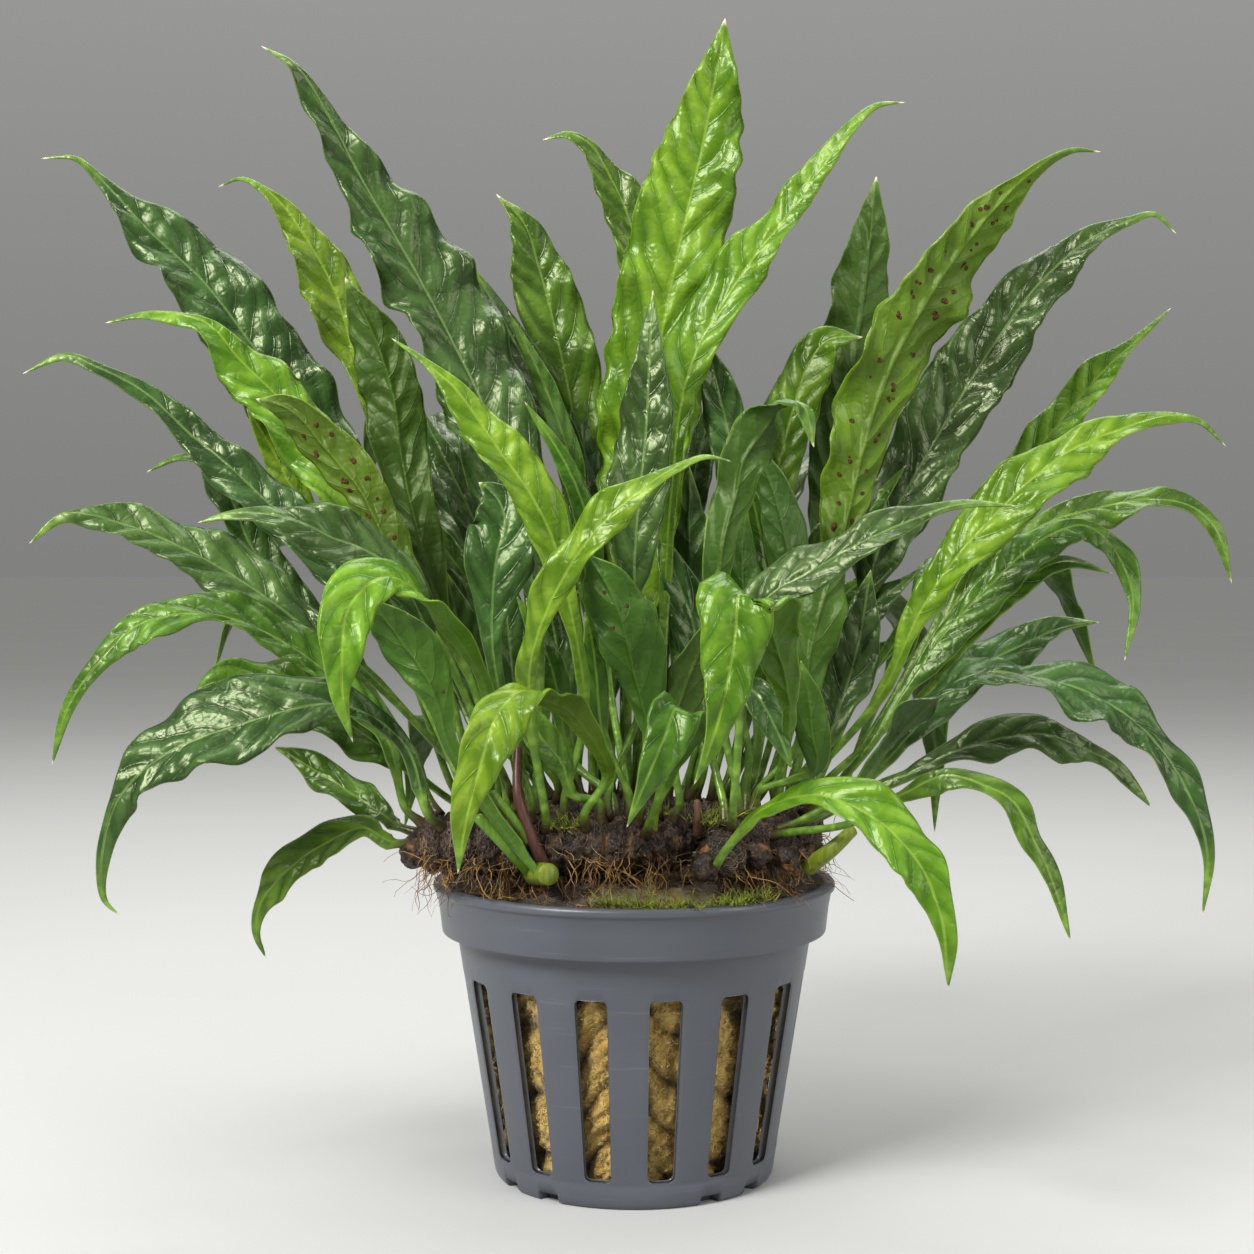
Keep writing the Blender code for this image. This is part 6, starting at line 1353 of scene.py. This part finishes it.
def root_paths(rhizome, count, draw):
    """Roots as paths: each starts in the bark of the side or the underside, moves on outward in
    steps with a wandering turn, and sinks until it rests on what lies under it."""
    length = path_length(rhizome.route)
    along = draw.uniform(-2.0, length + 2.0, count)
    turn = draw.choice((-1, 1), count) * draw.uniform(1.75, 2.9, count)
    foot = rhizome_place(rhizome, along, turn, -0.2)
    way = rhizome_place(rhizome, along, turn, 1.0) - foot
    way += draw.normal(0, 0.45, way.shape)
    near_rim = np.hypot(foot[:, 0], foot[:, 1]) > RIM_START
    size = (draw.uniform(0.5, 1.35, count) * ROOT_STEP * np.where(near_rim, RIM_STEP_SHARE, 1))[:, None]
    path = [foot]
    for step in range(ROOT_STEPS - 1):
        way = way + draw.normal(0, 0.33, way.shape) + (0.0, 0.0, -0.16)
        way /= np.linalg.norm(way, axis=-1, keepdims=True)
        place = path[-1] + way * size
        place[:, 2] = np.maximum(place[:, 2], resting_height(place) + draw.uniform(0, 0.25, count))
        path.append(place)
    return np.stack(path, 1)


def moss_material():
    """Thin bright yellow-green leaves of moss, darker olive in clouds."""
    material, tree, shader, place = new_material("moss")
    cloud = noise(tree, place, 900.0, 2.0)
    tree.links.new(mix_colours(tree, ramp(tree, cloud, 0.35, 0.65), (0.045, 0.060, 0.004, 1),
                               (0.28, 0.33, 0.02, 1)), shader.inputs["Base Color"])
    shader.inputs["Roughness"].default_value = 0.6
    return material


def shoot_material(name, colour):
    """A fleshy stalk, streaked along its length, with a soft gloss."""
    material, tree, shader, place = new_material(name)
    streak = noise(tree, stretched(tree, place, (2600.0, 2600.0, 260.0)), 1.0, 3.0, 0.6)
    dark = tuple(0.68 * part for part in colour)
    tree.links.new(mix_colours(tree, ramp(tree, streak, 0.35, 0.65), (*dark, 1), (*colour, 1)),
                   shader.inputs["Base Color"])
    shader.inputs["Roughness"].default_value = 0.38
    shader.inputs["Specular IOR Level"].default_value = 0.35
    return material


golden_root = root_material("golden_root", (0.030, 0.012, 0.004, 1), (0.44, 0.245, 0.065, 1))
for order, (name, count) in enumerate(ROOTS.items()):
    root_draw = np.random.default_rng(ROOT_SEED + order)
    paths = root_paths(RHIZOMES[name], count, root_draw)
    fade = np.linspace(1, 0.35, ROOT_STEPS)[None, :]
    points, faces = strands(paths, root_draw.uniform(0.045, 0.115, count)[:, None] * fade)
    add_piece("rhizome_" + name + "_roots", points, faces, golden_root)

for name, (colour, radii, route) in SHOOTS.items():
    share = np.linspace(0, 1, 40)
    radius = np.interp(share, np.linspace(0, 1, len(radii)), radii)
    rounded = radius * np.sqrt(np.clip((1 - share) / 0.03, 0.05, 1))
    points, faces = strands(smooth_path(route, share)[None], rounded[None], 20)
    add_piece(name, points, faces, shoot_material(name, colour))

share = np.linspace(-1, 1, 17)
for count, (x, y, z, size) in enumerate(KNOBS):
    path = np.array([x, y, z]) + share[:, None] * size * np.array([0.25, -0.9, 0.1])
    points, faces = strands(path[None], (size * np.sqrt(1.001 - share**2))[None], 28)
    points = points + 0.16 * ripple(points, 1.6, KNOB_SEED + count)[:, None] * (points - (x, y, z)) / size
    add_piece("rhizome_knob_%d" % (count + 1), points, faces, bark)

moss_draw = np.random.default_rng(MOSS_SEED)
tufts = np.repeat(np.array(MOSS_TUFTS), MOSS_STRANDS, 0)
moss_foot = tufts + moss_draw.normal(0, 1, tufts.shape) * (1.3, 0.8, 0.15)
moss_way = moss_draw.normal(0, 1, tufts.shape) * (0.8, 0.8, 0.5) + (0, -0.3, 0.9)
moss_step = np.linspace(0, 1, 5)[None, :, None]
moss_reach = moss_draw.uniform(0.5, 1.7, (len(tufts), 1, 1))
moss_bend = moss_draw.normal(0, 0.25, moss_way.shape)[:, None]
moss_paths = moss_foot[:, None] + moss_way[:, None] * moss_step * moss_reach + moss_bend * moss_step**2
moss_radii = np.broadcast_to(MOSS_RADIUS * (1.1 - moss_step[..., 0]), moss_paths.shape[:2])
points, faces = strands(moss_paths, moss_radii)
add_piece("moss_tufts", points, faces, moss_material())

# Stage
# A plain pale floor, a pale surround and three soft lamps, with the camera where the plant is
# seen from the front and a little above the pot.
FLOOR_REACH = 30.0            # metres, so that the floor runs out to the level of the eye
CAMERA_PLACE = (-0.98, -285.43, 83.84)
CAMERA_DIP = 0.027368         # radians below the level
CAMERA_LENS = 58.77
# Name, place in metres, width in metres and power in watts of each lamp
LAMPS = (("key", (-0.38, -0.42, 0.52), 0.26, 8.0),
         ("fill", (0.50, -0.32, 0.30), 0.40, 1.9),
         ("top", (0.05, 0.25, 0.62), 0.44, 2.9))
LAMP_TARGET = (0.0, 0.0, 0.075)
STUDIO_LIGHT = (0.21, 0.62)   # surround's strength just below the level of the eye, and overhead

floor_material, floor_tree, floor_shader, floor_place = new_material("floor_pale")
floor_cloud = noise(floor_tree, floor_place, 6.0, 3.0)
floor_tree.links.new(mix_colours(floor_tree, floor_cloud, (0.43, 0.43, 0.42, 1), (0.47, 0.47, 0.46, 1)),
                     floor_shader.inputs["Base Color"])
floor_shader.inputs["Roughness"].default_value = 1.0
floor_shader.inputs["Specular IOR Level"].default_value = 0.0
floor_mesh = bpy.data.meshes.new("floor")
floor_mesh.from_pydata([(-FLOOR_REACH, -FLOOR_REACH, 0), (FLOOR_REACH, -FLOOR_REACH, 0),
                        (FLOOR_REACH, FLOOR_REACH, 0), (-FLOOR_REACH, FLOOR_REACH, 0)], [],
                       [(0, 1, 2, 3)])
floor_mesh.materials.append(floor_material)
floor = bpy.data.objects.new("floor", floor_mesh)
bpy.context.scene.collection.objects.link(floor)

world = bpy.data.worlds.new("studio")
world.use_nodes = True
studio_tree = world.node_tree
studio_way = add_node(studio_tree, "ShaderNodeTexCoord").outputs["Generated"]
studio_height = add_node(studio_tree, "ShaderNodeSeparateXYZ", {0: studio_way}).outputs[2]
studio_light = ramp(studio_tree, studio_height, -0.1, 1.0, *STUDIO_LIGHT)
studio_tree.links.new(studio_light, studio_tree.nodes["Background"].inputs["Strength"])
studio_tree.nodes["Background"].inputs["Color"].default_value = (1.0, 1.0, 0.98, 1)
bpy.context.scene.world = world
bpy.context.scene.view_settings.view_transform = "Standard"

for lamp_name, lamp_place, lamp_size, lamp_power in LAMPS:
    lamp_data = bpy.data.lights.new(lamp_name, "AREA")
    lamp_data.shape = "SQUARE"
    lamp_data.size = lamp_size
    lamp_data.energy = lamp_power
    lamp = bpy.data.objects.new(lamp_name, lamp_data)
    lamp.location = lamp_place
    aim = np.array(LAMP_TARGET) - np.array(lamp_place)
    lamp.rotation_euler = (np.arccos(-aim[2] / np.linalg.norm(aim)), 0.0,
                           np.arctan2(aim[1], aim[0]) - pi / 2)
    bpy.context.scene.collection.objects.link(lamp)

camera_data = bpy.data.cameras.new("camera")
camera_data.lens = CAMERA_LENS
camera_data.sensor_width = 36.0
camera_data.clip_start = 0.01
camera = bpy.data.objects.new("camera", camera_data)
camera.location = np.array(CAMERA_PLACE) * MM
camera.rotation_euler = (pi / 2 - CAMERA_DIP, 0.0, 0.0)
bpy.context.scene.collection.objects.link(camera)
bpy.context.scene.camera = camera

bpy.context.view_layer.update()
